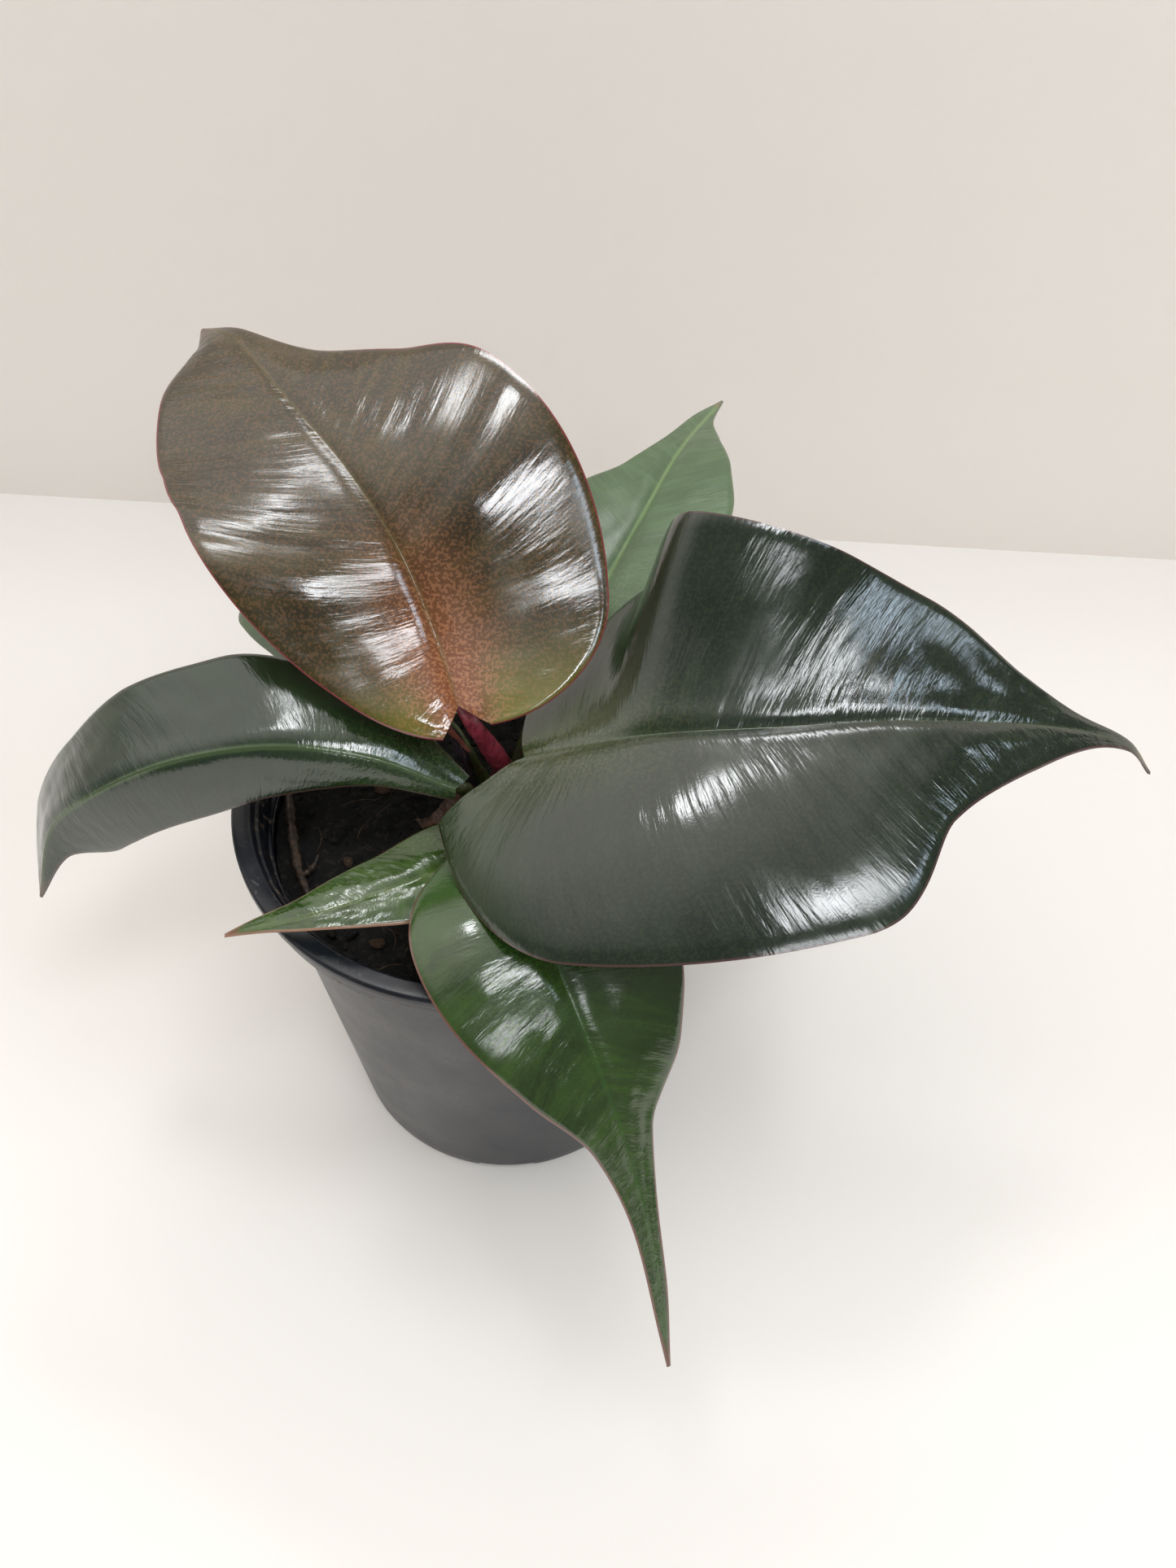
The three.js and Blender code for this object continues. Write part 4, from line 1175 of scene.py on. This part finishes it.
FLAP_ROWS = 40
flap_near = line_through([(-3.6, -3.4, 15), (-5.6, -6, 23), (-7.6, -8.6, 30)], FLAP_ROWS + 1)
flap_far = line_through([(-4.4, -3, 15), (-8.2, -4.6, 23), (-12.4, -6.4, 30)], FLAP_ROWS + 1)


def flap_place(across, up):
    """A curled strip between two lines beside the young leaf's stalk."""
    i = round(up * FLAP_ROWS)
    x, y, z = flap_near[i] * (1 - across) + flap_far[i] * across
    curl = 0.6 * math.sin(math.pi * across) + 0.15 * math.sin(14 * up)
    return (x, y - curl, z + RIM_HEIGHT)


def sheath_skin(name, body, light, pale):
    """Papery tissue with fine lines along it."""
    material, tree, shader = new_material(name)
    lines = drawn_lines(tree, (1500.0, 1500.0, 120.0), Detail=3.0)
    patches = use(tree, mottle, patches_per_metre=150.0, contrast=0.4, seed=8.0)
    skin = paint(tree, patches["Mask"], colour(body), colour(light))
    skin = paint(tree, fade(tree, lines, 0.55, 0.8), skin, colour(pale))
    feed(tree, shader, Base_Color=skin, Normal=bump(tree, lines, 0.12),
         Roughness=span(tree, patches["Mask"], 0.3, 0.5))
    return material


add_sheet("dark_bud_sheath", dark_sheath_place, 14, 40, 0.6,
          sheath_skin("dark_sheath", "1d161b", "3a2e38", "8a7f86"), "dark_sheath", "dark_sheath")
add_sheet("pink_flap", flap_place, 12, FLAP_ROWS, 0.45,
          sheath_skin("pink_sheath", "6e3a32", "8c5446", "9c6a5c"), "pink_sheath",
          "young_leaf_sheath")

# %% [markdown]
# ## Litter on the soil
#
# A strip of an old sheath lies crumpled beside the crown. A twig with a small side shoot leans
# against the wall on the left, and bits of bark lie about. Real litter is ragged, so the strip
# is rippled, the twig's radius wobbles and each chip is a rough flake.

# %% Old sheath
STRIP_ROWS = 50
strip_far = line_through([(-10, 6, 2.6), (-13, 2, 3.4), (-16, -2, 2.4), (-20, -4, 3)],
                         STRIP_ROWS + 1)


def old_sheath_place(across, up):
    """A crumpled strip that lies on the soil."""
    i = round(up * STRIP_ROWS)
    far, near = strip_far[i], strip_far[i] + np.array([2.6, -3.2, 1.2])
    x, y, z = near * (1 - across) + far * across
    crumple = 0.5 * math.sin(17 * up + 4 * across) + 0.3 * math.sin(41 * up)
    return (x + 0.3 * crumple, y, z + crumple * 0.8 + SOIL_LEVEL)


dry_strip = sheath_skin("dry_strip", "3a2820", "6a4c3e", "a08878")
add_sheet("old_sheath_strip", old_sheath_place, 12, STRIP_ROWS, 0.3, dry_strip, "dry_fibre",
          "old_sheath")

# %% Twig and bark
TWIG_ROWS = 60
twig_bark = stalk_skin("twig_bark", "1e1712", "33271c", "4e3826", 0.6)


def add_twig(name, points, radii, node):
    """A tube along a line through some points, thicker and thinner at its knots."""
    places = line_through(points, TWIG_ROWS)
    places[:, 2] += SOIL_LEVEL
    stations = np.linspace(0, 1, len(radii))
    thick = through(stations, radii, np.linspace(0, 1, TWIG_ROWS))
    knots = (1 + 0.12 * np.sin(np.linspace(0, 31, TWIG_ROWS))
             + 0.1 * np.sin(np.linspace(1, 83, TWIG_ROWS)))
    twig = add_tube(name, places, thick * knots, sides=3)
    return settle(twig, twig_bark, slot="dry_wood", nodes=[node], smooth=60)


add_twig("dry_twig", [(-53.5, 5, 8), (-51, -8, 5), (-48, -19, 4), (-43.5, -29, 3.6)],
         [1.1, 1.3, 1.2, 0.7], "twig")
add_twig("dry_twig_sprig", [(-46.6, -22.8, 4.2), (-43.6, -20.4, 5.6), (-42.6, -17.6, 6.4)],
         [0.6, 0.7, 0.4], "twig_sprig")

bark = peat_skin("bark_flake", "2a1e16", "4c3828", "75604a")
for i in range(1, 6):
    low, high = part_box(f"bark_chip_{i}")
    size = np.array(high - low) / MM
    chip = scatter(f"bark_flake_{i}", lumps, [(np.array((low + high) / 2) / MM, size, 0.0, i - 1)],
                   bark, "dry_wood", smooth=30)
    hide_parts(f"bark_chip_{i}")

# %% [markdown]
# ## Floor, wall and light
#
# The plant stands on plain pale paper in front of a low plain wall. Leaves this glossy show
# what is around them, so the bright marks on them are five small panes, hung where windows
# would be. A large soft pane overhead lights the floor and the shaded parts. It is kept out of
# reflections, because it would lay a pale veil over the dark leaves.

# %% Floor and wall
WALL_HEIGHT = 0.45
WALL_PLACE = (0.017, 0.262, WALL_HEIGHT / 2)
WALL_TURN = math.radians(-5.1)
PAPER_SIZE = 6


def paper(name, tone, shade, one_sided=False):
    """Matt paper. One-sided paper can't be seen from behind, so it never hides the plant."""
    material, tree, shader = new_material(name)
    grain = use(tree, skin_grain, cells_per_metre=1500.0, speck_share=0.3)
    patches = use(tree, mottle, patches_per_metre=4.0, contrast=0.6, seed=2.0)
    skin = paint(tree, patches["Mask"], colour(tone), colour(shade))
    feed(tree, shader, Base_Color=skin, Roughness=0.85,
         Normal=bump(tree, grain["Height"], 0.05), Specular_IOR_Level=0.2)
    if one_sided:
        behind = put(tree, "NewGeometry").outputs["Backfacing"]
        feed(tree, shader, Alpha=minus(tree, 1.0, behind))
    return material


def add_panel(name, place, turn, finish, height=PAPER_SIZE):
    """A flat sheet of paper that belongs to the room and isn't part of the object."""
    deselect()
    bpy.ops.mesh.primitive_plane_add(size=1, location=place, rotation=turn)
    panel = bpy.context.object
    panel.scale = (PAPER_SIZE, height, 1)
    panel.name = name
    panel.data.materials.append(finish)
    panel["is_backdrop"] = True


add_panel("floor_paper", (0, 0, 0), (0, 0, 0), paper("floor_paper", "ece9e5", "eae6e1"))
add_panel("wall_paper", WALL_PLACE, (math.radians(90), 0, WALL_TURN),
          paper("wall_paper", "f7f1eb", "f5efe8", one_sided=True), WALL_HEIGHT)
print("floor and wall", PAPER_SIZE, "m wide, wall", WALL_HEIGHT, "m high")

# %% Light
def add_pane(name, place, aim, size, power, tint):
    """A soft rectangular light at a place, aimed at another, size across and up in metres."""
    deselect()
    bpy.ops.object.light_add(type="AREA", location=place)
    pane = bpy.context.object
    pane.name = name
    pane.data.shape = "RECTANGLE"
    pane.data.size, pane.data.size_y = size
    pane.data.energy = power
    pane.data.color = tint
    pane.rotation_euler = (Vector(aim) - Vector(place)).to_track_quat("-Z", "Y").to_euler()
    return pane


PLANT_MIDDLE = (0.02, 0.0, 0.17)
PANE_DISTANCE = 2.5


def towards(azimuth, elevation):
    """Direction at an azimuth (0 is the back, 90 the right) and an elevation, in degrees."""
    a, e = math.radians(azimuth), math.radians(elevation)
    return Vector((math.sin(a) * math.cos(e), math.cos(a) * math.cos(e), math.sin(e)))


def hang_pane(name, azimuth, elevation, wide, high, brightness, tint):
    """A pane of a width and height in degrees, hung round the plant at one distance."""
    size = [2 * PANE_DISTANCE * math.tan(math.radians(angle / 2)) for angle in (wide, high)]
    place = Vector(PLANT_MIDDLE) + towards(azimuth, elevation) * PANE_DISTANCE
    power = brightness * math.pi * size[0] * size[1]
    return add_pane(name, place, PLANT_MIDDLE, size, power, tint)


# Azimuth, elevation, width and height in degrees, then brightness and tint
PANES = {
    "window_front": (142, 65, 22, 7, 15, (0.95, 0.97, 1)),
    "window_low": (162, 38, 18, 5, 10, (0.95, 0.97, 1)),
    "window_right": (108, 51, 13, 8, 8, (0.72, 0.86, 1)),
    "window_back": (15, 54, 18, 6, 14, (0.96, 0.98, 1)),
    "window_left": (-36, 74, 11, 8, 15, (0.96, 0.98, 1)),
}
for name, numbers in PANES.items():
    hang_pane(name, *numbers)
fill = add_pane("soft_fill", place=(0.2, -0.9, 1.9), aim=(0, 0.1, 0.1), size=(2.2, 2.2), power=16,
                tint=(1, 0.985, 0.96))
fill.visible_glossy = False
print(len(PANES), "panes and a soft fill")

# %% [markdown]
# The room itself is brightest behind the plant on the left and dim over the camera. On glossy
# leaves that gives broad grey sheens with dark stretches between them.

# %% Room
BRIGHT_SIDE = towards(-40, 50)
SHEEN_EDGE = (0.4, 0.95)
DIM_AIR, BRIGHT_AIR = (0.20, 0.20, 0.20, 1), (1.25, 1.2, 1.15, 1)
world = bpy.data.worlds.new("studio_air")
bpy.context.scene.world = world
world.use_nodes = True
air = world.node_tree
facing = put(air, "VectorMath", {0: put(air, "TexCoord").outputs["Generated"],
                                 1: BRIGHT_SIDE}, operation="DOT_PRODUCT").outputs["Value"]
background = air.nodes["Background"]
air.links.new(paint(air, fade(air, facing, *SHEEN_EDGE), DIM_AIR, BRIGHT_AIR),
              background.inputs["Color"])
bpy.context.scene.view_settings.view_transform = "Standard"
print("air from", DIM_AIR[:3], "to", BRIGHT_AIR[:3])

# %% [markdown]
# ## Sizes
#
# Last, the box of the pieces made here is printed, in millimetres. It should differ from the
# imported model's box by less than a millimetre.

# %% Size of the pieces made here
low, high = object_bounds()
print("visual box, mm:", [[round(c / MM, 1) for c in corner] for corner in (low, high)])
